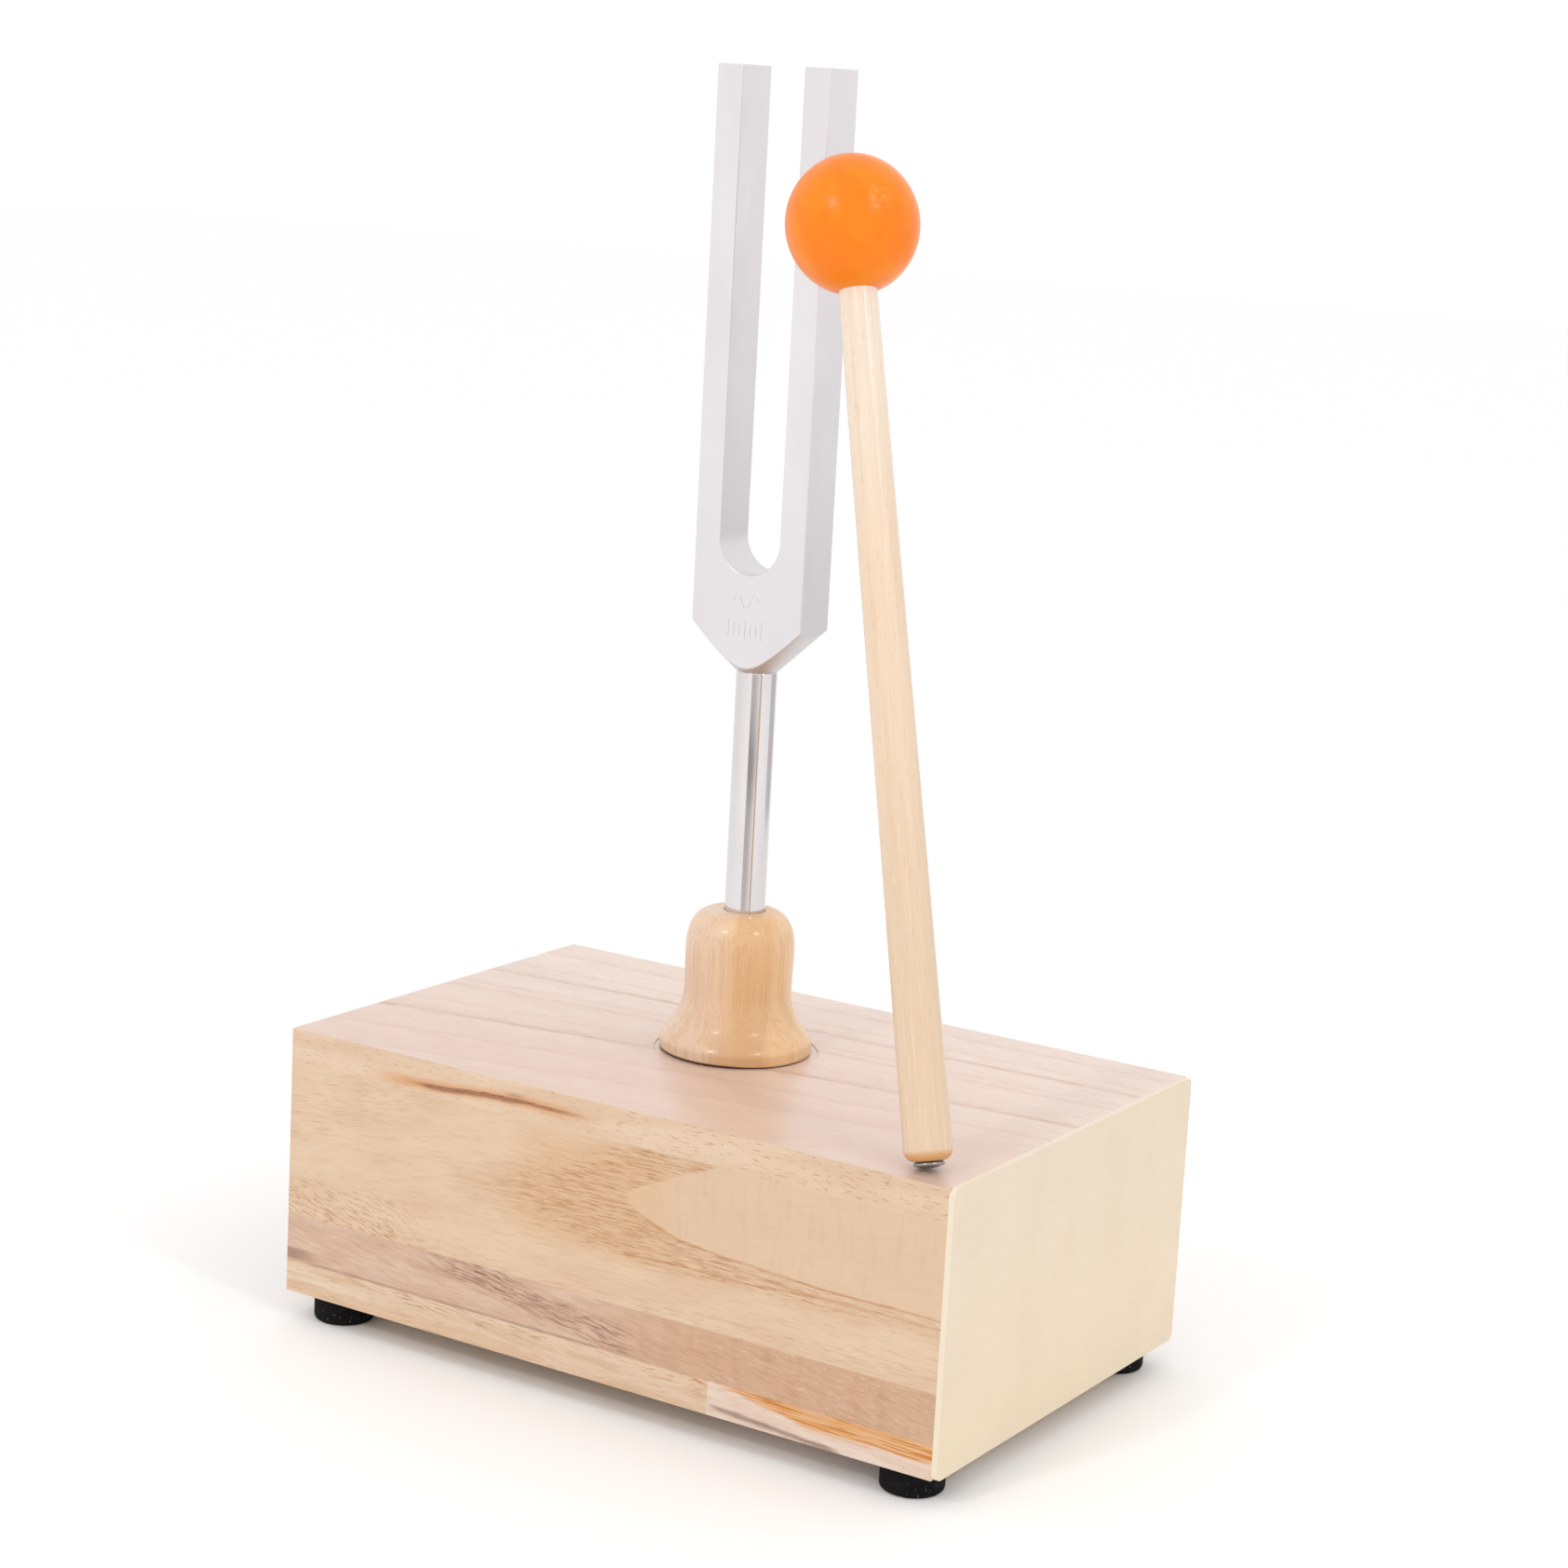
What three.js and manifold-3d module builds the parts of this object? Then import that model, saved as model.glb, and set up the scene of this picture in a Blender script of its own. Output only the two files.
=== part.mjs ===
// Desk tuning fork: an aluminium fork on a steel stem, stood in a turned wooden bell on a
// resonance box, with a ball mallet that leans on the fork. Units are millimetres, +Z is up.
// The origin is the middle of the box's footprint, on the surface that the feet stand on.
// X runs along the box and the fork's width, Y runs from the front of the box to its back.

import * as THREE from 'three';
import { mergeVertices } from 'three/addons/utils/BufferGeometryUtils.js';
import Module from 'manifold-3d';

const wasm = await Module();
wasm.setup();

// Resonance box
const BOX_LENGTH = 150;
const BOX_WIDTH = 93;
const BOX_HEIGHT = 54;
const WALL = 6.5;
const PANEL_THICKNESS = 1.2;
const PANEL_CORNER = 1.4;

// Strips that the front wall and the bottom board are glued up from
const LOWER_STAVE_TOP = 16.2;
const BOTTOM_STRIP_WIDTH = 31;
const BOTTOM_STRIP_JOINT = 101;

// Feet and their screws
const FOOT_RADIUS = 6;
const FOOT_HEIGHT = 5.5;
const FOOT_ROUNDING = 0.9;
const FOOT_INSET_X = 9;
const FOOT_INSET_Y = 7.3;
const FOOT_HOLE = 1.8;
const COUNTERBORE_RADIUS = 2.9;
const COUNTERBORE_DEPTH = 2.3;
const FOOT_SCREW_HEAD = 2.5;
const FOOT_SCREW_HEAD_HEIGHT = 1.6;
const FOOT_SCREW_HEAD_FLAT = 1.75;
const FOOT_SCREW_HEAD_ROUNDING = 0.8;
const FOOT_SCREW_SHANK = 1.4;
const FOOT_SCREW_REACH = 4.4;

// Wooden bell that holds the stem
const FORK_X = -2.8;
const FORK_Y = 2.6;
const BELL_OFFSET_X = -0.35;
const BELL_OFFSET_Y = -0.4;
const BELL_HEIGHT = 28.2;
const BELL_BORE_DEPTH = 20.3;
const BELL_SEAT_RADIUS = 16.1;
const BELL_SEAT_DEPTH = 0.15;
const BELL_SEAT_X = -2.6;
const BELL_SEAT_Y = 1.75;

// Countersunk wood screw, from inside the box up into the bell
const SCREW_HEAD_RADIUS = 3.4;
const SCREW_HEAD_HEIGHT = 2;
const SCREW_SHANK = 1.65;
const SCREW_LENGTH = 12.2;
const SCREW_TIP = 2;

// Fork and stem
const FORK_WIDTH = 24.8;
const FORK_DEPTH = 9.85;
const TINE_THICKNESS = 5.6;
const FORK_BASE_ABOVE_BOX = 75.5;
const FORK_HEIGHT = 113.9;
const YOKE_HEIGHT = 18.75;
const CONE_SLOPE = 1.03;
const STEM_RADIUS = 4;
const STEM_CHAMFER = 0.5;
const NECK_RADIUS = 4.2;
const SPIGOT_RADIUS = 2.5;
const SPIGOT_LENGTH = 8;

// Mallet: it stands on its tack and leans until the ball meets the corner of a tine
const MALLET_FOOT_X = 66;
const MALLET_FOOT_Y = -40.3;
const MALLET_LEAN = THREE.MathUtils.degToRad(19);
const MALLET_TOWARDS = THREE.MathUtils.degToRad(145.7);
const BALL_RADIUS = 12.3;
const BALL_HALF_LENGTH = 12.85;
const BALL_CENTRE = 170;
const BALL_BORE_DEPTH = 14;
const HANDLE_TOP_RADIUS = 3.55;
const HANDLE_FOOT_RADIUS = 4.4;
const HANDLE_FOOT_ROUNDING = 2;
const TACK_RADIUS = 2.8;
const TACK_THICKNESS = 0.45;
const TACK_RIM = 0.2;
const TACK_CLEARANCE = 0.2;
const TACK_NAIL = 0.7;
const TACK_NAIL_LENGTH = 9;
const TACK_NAIL_POINT = 2;

// Room left between pieces that touch on a curved or leaning surface
const GAP = 0.3;
const SLIDING_GAP = 0.15;

// How far a cutting shape reaches past the surface that it opens
const BEYOND = 1;

// Facets round a turned piece, and along a curve
const ROUND_STEPS = 48;
const MEDIUM_ROUND_STEPS = 32;
const SMALL_ROUND_STEPS = 24;
const BALL_STEPS_AROUND = 36;
const BALL_STEPS_UP = 24;
const CURVE_STEPS = 5;

const boxUnderside = FOOT_HEIGHT;
const boxTop = FOOT_HEIGHT + BOX_HEIGHT;
const cavityFloor = boxUnderside + WALL;
const cavityTop = boxTop - WALL;
const boxLeft = -BOX_LENGTH / 2;
const boxRight = BOX_LENGTH / 2;
const panelInner = boxRight - PANEL_THICKNESS;
const boxFront = -BOX_WIDTH / 2;
const boxBack = BOX_WIDTH / 2;
const forkBase = boxTop + FORK_BASE_ABOVE_BOX;
const bellBase = boxTop - BELL_SEAT_DEPTH;
const boreFloor = bellBase + BELL_HEIGHT - BELL_BORE_DEPTH;

const finishes = {
  wood: new THREE.MeshStandardMaterial({ color: 0xe6c7a4, roughness: 0.6 }),
  topWood: new THREE.MeshStandardMaterial({ color: 0xecd8c9, roughness: 0.6 }),
  redWood: new THREE.MeshStandardMaterial({ color: 0xd3a78b, roughness: 0.6 }),
  paleWood: new THREE.MeshStandardMaterial({ color: 0xe8d5b4, roughness: 0.6 }),
  creamPanel: new THREE.MeshStandardMaterial({ color: 0xefe0c2, roughness: 0.5 }),
  turnedWood: new THREE.MeshStandardMaterial({ color: 0xe2ba8c, roughness: 0.35 }),
  birch: new THREE.MeshStandardMaterial({ color: 0xf2ddbe, roughness: 0.4 }),
  aluminium: new THREE.MeshStandardMaterial({ color: 0xe2e0e0, roughness: 0.35, metalness: 1 }),
  steel: new THREE.MeshStandardMaterial({ color: 0xc9c8cb, roughness: 0.15, metalness: 1 }),
  rubber: new THREE.MeshStandardMaterial({ color: 0x1d1c1d, roughness: 0.85 }),
  orange: new THREE.MeshStandardMaterial({ color: 0xff8a22, roughness: 0.4 }),
};

// Solids as manifold-3d objects, and back to geometry

function toSolid(geometry) {
  const bare = geometry.clone();
  bare.deleteAttribute('normal');
  bare.deleteAttribute('uv');
  const merged = mergeVertices(bare, 1e-4);
  const vertProperties = new Float32Array(merged.attributes.position.array);
  const triVerts = new Uint32Array(merged.index.array);
  return new wasm.Manifold(new wasm.Mesh({ numProp: 3, vertProperties, triVerts }));
}

function toGeometry(solid) {
  const mesh = solid.getMesh();
  const geometry = new THREE.BufferGeometry();
  geometry.setAttribute('position', new THREE.BufferAttribute(mesh.vertProperties, 3));
  geometry.setIndex(new THREE.BufferAttribute(mesh.triVerts, 1));
  geometry.computeVertexNormals();
  return geometry;
}

function cut(geometry, ...tools) {
  const solid = tools.reduce((rest, tool) => rest.subtract(toSolid(tool)), toSolid(geometry));
  return toGeometry(solid);
}

function named(name, geometry, material, parent) {
  const mesh = new THREE.Mesh(geometry, material);
  mesh.name = name;
  parent.add(mesh);
  return mesh;
}

// Basic shapes. A turned profile is a list of [radius, height], from the axis at the bottom,
// outwards and up, and back to the axis.

function turned(profile, steps = ROUND_STEPS) {
  const points = profile.map(([radius, height]) => new THREE.Vector2(radius, height));
  const geometry = new THREE.LatheGeometry(points, steps);
  geometry.rotateX(Math.PI / 2);
  return geometry;
}

function rod(radius, bottom, top, steps = ROUND_STEPS) {
  return turned([[0, bottom], [radius, bottom], [radius, top], [0, top]], steps);
}

function placed(geometry, x, y, z = 0) {
  return geometry.translate(x, y, z);
}

// A section drawn in Y and Z, extruded along X from one end to the other
function alongX(outline, start, end) {
  const shape = outline instanceof THREE.Shape
    ? outline
    : new THREE.Shape(outline.map(([y, z]) => new THREE.Vector2(y, z)));
  const geometry = new THREE.ExtrudeGeometry(shape, {
    depth: end - start,
    bevelEnabled: false,
    curveSegments: CURVE_STEPS,
  });
  const xAxis = new THREE.Vector3(1, 0, 0);
  const yAxis = new THREE.Vector3(0, 1, 0);
  const zAxis = new THREE.Vector3(0, 0, 1);
  geometry.applyMatrix4(new THREE.Matrix4().makeBasis(yAxis, zAxis, xAxis));
  return geometry.translate(start, 0, 0);
}

// Resonance box: the top and bottom boards lie over the edges of the front and back walls,
// which leaves a tube that is open at one end, and a thin panel closes the other end

function screwHoleUpFromInside() {
  const under = cavityTop;
  return turned([
    [0, under - BEYOND],
    [SCREW_HEAD_RADIUS + GAP + BEYOND, under - BEYOND],
    [SCREW_SHANK + GAP, under + SCREW_HEAD_HEIGHT + GAP],
    [SCREW_SHANK + GAP, boxTop + BEYOND],
    [0, boxTop + BEYOND],
  ], SMALL_ROUND_STEPS);
}

function board(front, back, bottom, top, left = boxLeft, right = panelInner) {
  return alongX([[front, bottom], [back, bottom], [back, top], [front, top]], left, right);
}

function topBoard() {
  const seat = rod(BELL_SEAT_RADIUS, bellBase, boxTop + BEYOND);
  return cut(
    board(boxFront, boxBack, cavityTop, boxTop),
    placed(seat, BELL_SEAT_X, BELL_SEAT_Y),
    placed(screwHoleUpFromInside(), FORK_X + BELL_OFFSET_X, FORK_Y + BELL_OFFSET_Y),
  );
}

// The feet's screws go up into the bottom board, which is three strips glued edge to edge
function addBottom(box) {
  const stripBack = boxFront + BOTTOM_STRIP_WIDTH;
  const joint = boxLeft + BOTTOM_STRIP_JOINT;
  const screwTop = boxUnderside + FOOT_SCREW_REACH + GAP;
  const holes = footPlaces().map(([x, y]) =>
    placed(rod(FOOT_SCREW_SHANK + GAP, boxUnderside - BEYOND, screwTop, SMALL_ROUND_STEPS), x, y));
  const left = board(boxFront, stripBack, boxUnderside, cavityFloor, boxLeft, joint);
  const right = board(boxFront, stripBack, boxUnderside, cavityFloor, joint);
  const rest = board(stripBack, boxBack, boxUnderside, cavityFloor);
  named('bottom_strip_left', cut(left, holes[0]), finishes.paleWood, box);
  named('bottom_strip_right', cut(right, holes[1]), finishes.paleWood, box);
  named('bottom_board', cut(rest, holes[2], holes[3]), finishes.wood, box);
}

function addWalls(box) {
  const glueLine = boxUnderside + LOWER_STAVE_TOP;
  const main = board(boxFront, boxFront + WALL, glueLine, cavityTop);
  const lower = board(boxFront, boxFront + WALL, cavityFloor, glueLine);
  named('front_main_stave', main, finishes.wood, box);
  named('front_lower_stave', lower, finishes.redWood, box);
  named('back_board', board(boxBack - WALL, boxBack, cavityFloor, cavityTop), finishes.wood, box);
}

function endPanel() {
  const shape = new THREE.Shape();
  const r = PANEL_CORNER;
  shape.absarc(boxBack - r, boxTop - r, r, 0, Math.PI / 2);
  shape.absarc(boxFront + r, boxTop - r, r, Math.PI / 2, Math.PI);
  shape.absarc(boxFront + r, boxUnderside + r, r, Math.PI, 1.5 * Math.PI);
  shape.absarc(boxBack - r, boxUnderside + r, r, 1.5 * Math.PI, 2 * Math.PI);
  shape.closePath();
  return alongX(shape, panelInner, boxRight);
}

// Feet, each held by a pan-head screw that stays above the surface under the foot

function footPlaces() {
  const x = boxRight - FOOT_INSET_X;
  const y = boxBack - FOOT_INSET_Y;
  return [[-x, -y], [x, -y], [-x, y], [x, y]];
}

function foot() {
  const body = [[0, 0], [FOOT_RADIUS - FOOT_ROUNDING, 0]];
  for (let step = 1; step <= CURVE_STEPS; step += 1) {
    const turn = (step / CURVE_STEPS) * (Math.PI / 2);
    const radius = FOOT_RADIUS - FOOT_ROUNDING * (1 - Math.sin(turn));
    body.push([radius, FOOT_ROUNDING * (1 - Math.cos(turn))]);
  }
  body.push([FOOT_RADIUS, FOOT_HEIGHT], [0, FOOT_HEIGHT]);
  return cut(
    turned(body, MEDIUM_ROUND_STEPS),
    rod(COUNTERBORE_RADIUS, -BEYOND, COUNTERBORE_DEPTH, SMALL_ROUND_STEPS),
    rod(FOOT_HOLE, -BEYOND, FOOT_HEIGHT + BEYOND, SMALL_ROUND_STEPS),
  );
}

function footScrew() {
  const headTop = COUNTERBORE_DEPTH;
  const headBottom = headTop - FOOT_SCREW_HEAD_HEIGHT;
  const tip = boxUnderside + FOOT_SCREW_REACH;
  return turned([
    [0, headBottom],
    [FOOT_SCREW_HEAD_FLAT, headBottom],
    [FOOT_SCREW_HEAD, headBottom + FOOT_SCREW_HEAD_ROUNDING],
    [FOOT_SCREW_HEAD, headTop],
    [FOOT_SCREW_SHANK, headTop],
    [FOOT_SCREW_SHANK, tip - FOOT_SCREW_SHANK],
    [0, tip],
  ], SMALL_ROUND_STEPS);
}

function addFeet(box) {
  footPlaces().forEach(([x, y], index) => {
    const number = index + 1;
    const group = new THREE.Group();
    group.position.set(x, y, 0);
    named(`foot_${number}`, foot(), finishes.rubber, group);
    named(`foot_screw_${number}`, footScrew(), finishes.steel, group);
    box.add(group);
  });
}

// Turned bell: a lip at the base, a narrow waist and a round shoulder, bored for the stem

function bellOutline() {
  const path = new THREE.Path();
  path.moveTo(0, 0);
  path.lineTo(14.5, 0);
  path.quadraticCurveTo(15.05, 0, 15.05, 0.6);
  path.lineTo(15.05, 1.7);
  path.bezierCurveTo(15.05, 2.2, 12.25, 5.95, 12.15, 6.3);
  path.bezierCurveTo(11.5, 8.85, 10.55, 10, 10.55, 12.8);
  path.bezierCurveTo(10.55, 15.6, 10.7, 17.9, 10.7, 20.7);
  path.bezierCurveTo(10.7, 23.5, 9.95, 27.9, 5.9, BELL_HEIGHT);
  path.lineTo(0, BELL_HEIGHT);
  return path.getPoints(CURVE_STEPS).map((point) => [point.x, point.y]);
}

function bell() {
  const stemBore = rod(STEM_RADIUS + SLIDING_GAP, boreFloor - bellBase, BELL_HEIGHT + BEYOND);
  const pilotTop = SCREW_LENGTH - WALL + BELL_SEAT_DEPTH + GAP;
  const pilot = rod(SCREW_SHANK + GAP, -BEYOND, pilotTop, SMALL_ROUND_STEPS);
  return cut(turned(bellOutline()), placed(stemBore, -BELL_OFFSET_X, -BELL_OFFSET_Y), pilot);
}

function bellScrew() {
  return turned([
    [0, 0],
    [SCREW_HEAD_RADIUS, 0],
    [SCREW_SHANK, SCREW_HEAD_HEIGHT],
    [SCREW_SHANK, SCREW_LENGTH - SCREW_TIP],
    [0, SCREW_LENGTH],
  ], SMALL_ROUND_STEPS);
}

function addBell(box) {
  const group = new THREE.Group();
  group.position.set(FORK_X + BELL_OFFSET_X, FORK_Y + BELL_OFFSET_Y, 0);
  named('bell', bell(), finishes.turnedWood, group).position.z = bellBase;
  named('bell_screw', bellScrew(), finishes.steel, group).position.z = cavityTop;
  box.add(group);
}

// Stem: a round rod that stands in the bell, with a spigot that screws into the fork

function stem() {
  const bottom = boreFloor + SLIDING_GAP;
  return turned([
    [0, bottom],
    [STEM_RADIUS - STEM_CHAMFER, bottom],
    [STEM_RADIUS, bottom + STEM_CHAMFER],
    [STEM_RADIUS, forkBase],
    [SPIGOT_RADIUS, forkBase],
    [SPIGOT_RADIUS, forkBase + SPIGOT_LENGTH],
    [0, forkBase + SPIGOT_LENGTH],
  ]);
}

// Fork: a flat bar slotted into two tines, its base turned to a cone that meets the stem

function forkOutline() {
  const half = FORK_WIDTH / 2;
  const slotHalf = half - TINE_THICKNESS;
  const slotCentre = YOKE_HEIGHT + slotHalf;
  const shape = new THREE.Shape();
  shape.moveTo(-half, 0);
  shape.lineTo(half, 0);
  shape.lineTo(half, FORK_HEIGHT);
  shape.lineTo(slotHalf, FORK_HEIGHT);
  shape.absarc(0, slotCentre, slotHalf, 0, -Math.PI, true);
  shape.lineTo(-slotHalf, FORK_HEIGHT);
  shape.lineTo(-half, FORK_HEIGHT);
  shape.closePath();
  return shape;
}

function fork() {
  const bar = new THREE.ExtrudeGeometry(forkOutline(), {
    depth: FORK_DEPTH,
    bevelEnabled: false,
    curveSegments: 4 * CURVE_STEPS,
  });
  bar.translate(0, 0, -FORK_DEPTH / 2);
  bar.rotateX(Math.PI / 2);
  const envelope = turned([
    [0, 0],
    [NECK_RADIUS, 0],
    [NECK_RADIUS + FORK_WIDTH * CONE_SLOPE, FORK_WIDTH],
    [NECK_RADIUS + FORK_WIDTH * CONE_SLOPE, FORK_HEIGHT + BEYOND],
    [0, FORK_HEIGHT + BEYOND],
  ], 2 * ROUND_STEPS);
  const bore = rod(SPIGOT_RADIUS + GAP, -BEYOND, SPIGOT_LENGTH + GAP, SMALL_ROUND_STEPS);
  return toGeometry(toSolid(bar).intersect(toSolid(envelope)).subtract(toSolid(bore)));
}

function addFork(parent) {
  const group = new THREE.Group();
  group.position.set(FORK_X, FORK_Y, 0);
  named('stem', stem(), finishes.steel, group);
  named('fork', fork(), finishes.aluminium, group).position.z = forkBase;
  parent.add(group);
}

// Mallet, drawn upright on its tack and then leaned over

function handle() {
  const foot = TACK_THICKNESS + GAP;
  const ballUnderside = BALL_CENTRE - BALL_HALF_LENGTH;
  const top = ballUnderside + BALL_BORE_DEPTH - GAP;
  const profile = [[0, foot]];
  for (let step = 0; step <= CURVE_STEPS; step += 1) {
    const turn = (step / CURVE_STEPS) * (Math.PI / 2);
    const radius = HANDLE_FOOT_RADIUS - HANDLE_FOOT_ROUNDING * (1 - Math.sin(turn));
    profile.push([radius, foot + HANDLE_FOOT_ROUNDING * (1 - Math.cos(turn))]);
  }
  profile.push([HANDLE_TOP_RADIUS, ballUnderside], [HANDLE_TOP_RADIUS, top], [0, top]);
  const nailHole = rod(TACK_NAIL + GAP, 0, TACK_THICKNESS + TACK_NAIL_LENGTH + GAP, SMALL_ROUND_STEPS);
  return cut(turned(profile, MEDIUM_ROUND_STEPS), nailHole);
}

// The ball is a little longer along the handle than it is across
function ball() {
  const body = new THREE.SphereGeometry(BALL_RADIUS, BALL_STEPS_AROUND, BALL_STEPS_UP);
  body.rotateX(Math.PI / 2);
  body.scale(1, 1, BALL_HALF_LENGTH / BALL_RADIUS);
  const underside = -BALL_HALF_LENGTH;
  const boreTop = underside + BALL_BORE_DEPTH;
  const bore = rod(HANDLE_TOP_RADIUS + GAP, underside - BEYOND, boreTop, SMALL_ROUND_STEPS);
  return cut(body, bore);
}

function tack() {
  return turned([
    [0, 0],
    [TACK_RADIUS - TACK_RIM, 0],
    [TACK_RADIUS, TACK_RIM],
    [TACK_RADIUS - TACK_RIM, TACK_THICKNESS],
    [TACK_NAIL, TACK_THICKNESS],
    [TACK_NAIL, TACK_THICKNESS + TACK_NAIL_LENGTH - TACK_NAIL_POINT],
    [0, TACK_THICKNESS + TACK_NAIL_LENGTH],
  ], SMALL_ROUND_STEPS);
}

function addMallet(parent) {
  const group = new THREE.Group();
  const lowestRim = (TACK_RADIUS - TACK_RIM) * Math.sin(MALLET_LEAN);
  const footHeight = boxTop + TACK_CLEARANCE + lowestRim;
  const leanAxis = new THREE.Vector3(-Math.sin(MALLET_TOWARDS), Math.cos(MALLET_TOWARDS), 0);
  group.position.set(MALLET_FOOT_X, MALLET_FOOT_Y, footHeight);
  group.quaternion.setFromAxisAngle(leanAxis, MALLET_LEAN);
  named('mallet_handle', handle(), finishes.birch, group);
  named('mallet_ball', ball(), finishes.orange, group).position.z = BALL_CENTRE;
  named('mallet_tack', tack(), finishes.steel, group);
  parent.add(group);
}

const group = new THREE.Group();
named('top_board', topBoard(), finishes.topWood, group);
addBottom(group);
addWalls(group);
named('end_panel', endPanel(), finishes.creamPanel, group);
addFeet(group);
addBell(group);
addFork(group);
addMallet(group);

export default group;
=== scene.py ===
import math

import bmesh
import bpy
from mathutils import Matrix, Vector


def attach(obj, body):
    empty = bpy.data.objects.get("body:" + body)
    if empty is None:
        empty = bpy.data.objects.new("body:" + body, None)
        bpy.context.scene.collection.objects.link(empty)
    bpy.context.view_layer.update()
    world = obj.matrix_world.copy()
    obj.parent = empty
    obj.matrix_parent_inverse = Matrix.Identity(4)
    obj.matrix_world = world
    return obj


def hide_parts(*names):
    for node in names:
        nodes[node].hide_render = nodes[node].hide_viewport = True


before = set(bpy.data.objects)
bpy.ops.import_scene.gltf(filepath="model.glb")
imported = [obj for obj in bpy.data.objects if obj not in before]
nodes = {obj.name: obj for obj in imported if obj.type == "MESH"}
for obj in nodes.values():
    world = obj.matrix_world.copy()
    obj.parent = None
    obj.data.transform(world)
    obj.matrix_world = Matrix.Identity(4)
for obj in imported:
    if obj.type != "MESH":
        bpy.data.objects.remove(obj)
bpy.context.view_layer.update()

# Everything below is in millimetres until a mesh or a light is made
MM = 0.001

# The part's own sizes, the same as in the CAD source
BOX_LENGTH, BOX_WIDTH = 150, 93
BOX_TOP, BOX_UNDERSIDE, BOARD = 59.5, 5.5, 6.5
FORK_X, FORK_Y = -2.8, 2.6
BELL_X, BELL_Y = -3.15, 2.2
BELL_BASE, BELL_HEIGHT, BORE_FLOOR = 59.35, 28.2, 67.25
SEAT_X, SEAT_Y, SEAT_RADIUS = -2.6, 1.75, 16.1
FORK_BASE, FORK_WIDTH, FORK_DEPTH, TINE = 135.0, 24.8, 9.85, 5.6
FORK_HEIGHT, YOKE_HEIGHT, CONE_SLOPE = 113.9, 18.75, 1.03
STEM_RADIUS, NECK_RADIUS, SPIGOT_RADIUS, SPIGOT_LENGTH = 4.0, 4.2, 2.5, 8
MALLET_FOOT = (66, -40.3, 60.546)
MALLET_LEAN, MALLET_TOWARDS = math.radians(19), math.radians(145.7)
BALL_RADIUS, BALL_HALF_LENGTH, BALL_CENTRE, BALL_BORE = 12.3, 12.85, 170, 14
HANDLE_TOP, HANDLE_FOOT, HANDLE_ROUNDING, HANDLE_START = 3.55, 4.4, 2, 0.75
TACK_RADIUS, TACK_THICKNESS, NAIL_RADIUS, NAIL_TIP = 2.8, 0.72, 0.7, 9.45
# Middle of the mark on the ball, from the ball's centre: the moulding gate, with a painted highlight of the
# right lamp on it
GATE_AND_HIGHLIGHT = (10, -6.95, 1.5)
FOOT_RADIUS, FOOT_HEIGHT = 6, 5.5
FEET = [(-66, -39.2), (66, -39.2), (-66, 39.2), (66, 39.2)]
GAP = 0.3

# ---------------------------------------------------------------- camera and light

CAMERA_AZIMUTH, CAMERA_ELEVATION, CAMERA_ROLL = 32.113, 11.340, 3.077
CAMERA_PLACE = (0.34438, -0.53862, 0.24180)
LENS = 77.616
# Both lamps: degrees to the side of the camera, height in degrees, distance and diameter in metres
LAMP_SPREAD, LAMP_ELEVATION, LAMP_DISTANCE, LAMP_SIZE = 41, 38, 1.3, 0.12


def direction(azimuth, elevation):
    """The way from the object towards a place at that azimuth, 0 at the front and 90 on the right."""
    a, e = math.radians(azimuth), math.radians(elevation)
    return Vector((math.sin(a) * math.cos(e), -math.cos(a) * math.cos(e), math.sin(e)))


def add_camera():
    camera = bpy.data.objects.new("camera", bpy.data.cameras.new("camera"))
    bpy.context.scene.collection.objects.link(camera)
    back = direction(CAMERA_AZIMUTH, CAMERA_ELEVATION)
    level = (-back).cross(Vector((0, 0, 1))).normalized()
    upright = level.cross(-back)
    c, s = math.cos(math.radians(CAMERA_ROLL)), math.sin(math.radians(CAMERA_ROLL))
    right, up = c * level + s * upright, c * upright - s * level
    camera.matrix_world = Matrix.Translation(CAMERA_PLACE) @ Matrix((right, up, back)).transposed().to_4x4()
    camera.data.lens = LENS
    camera.data.sensor_width = 36
    camera.data.clip_start = 0.01
    bpy.context.scene.camera = camera


def add_lamp(name, azimuth, power):
    lamp = bpy.data.objects.new(name, bpy.data.lights.new(name, "AREA"))
    bpy.context.scene.collection.objects.link(lamp)
    lamp.data.shape = "DISK"
    lamp.data.size = LAMP_SIZE
    lamp.data.energy = power
    way = direction(azimuth, LAMP_ELEVATION)
    lamp.location = Vector((0, 0, 0.1)) + way * LAMP_DISTANCE
    lamp.rotation_mode = "QUATERNION"
    lamp.rotation_quaternion = way.to_track_quat("Z", "Y")


def add_studio_light():
    world = bpy.data.worlds.new("studio")
    world.use_nodes = True
    background = world.node_tree.nodes["Background"]
    background.inputs["Color"].default_value = (1, 1, 1, 1)
    background.inputs["Strength"].default_value = 1.02
    bpy.context.scene.world = world
    bpy.context.scene.view_settings.view_transform = "Standard"


add_camera()
add_lamp("left_lamp", CAMERA_AZIMUTH - LAMP_SPREAD, power=1.9)
add_lamp("right_lamp", CAMERA_AZIMUTH + LAMP_SPREAD, power=1.4)
add_studio_light()

# ---------------------------------------------------------------- material helpers


def srgb(red, green, blue):
    """A colour as a screen shows it, 0 to 255, in the linear numbers that shaders take."""
    def linear(c):
        c /= 255
        return c / 12.92 if c <= 0.04045 else ((c + 0.055) / 1.055) ** 2.4
    return (linear(red), linear(green), linear(blue), 1)


# How bright this studio makes a white surface that faces the camera
STUDIO_LEVEL = 1.13


def seen(red, green, blue):
    """The surface colour that this studio's light makes look like that screen colour."""
    return (*(c / STUDIO_LEVEL for c in srgb(red, green, blue)[:3]), 1)


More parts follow.
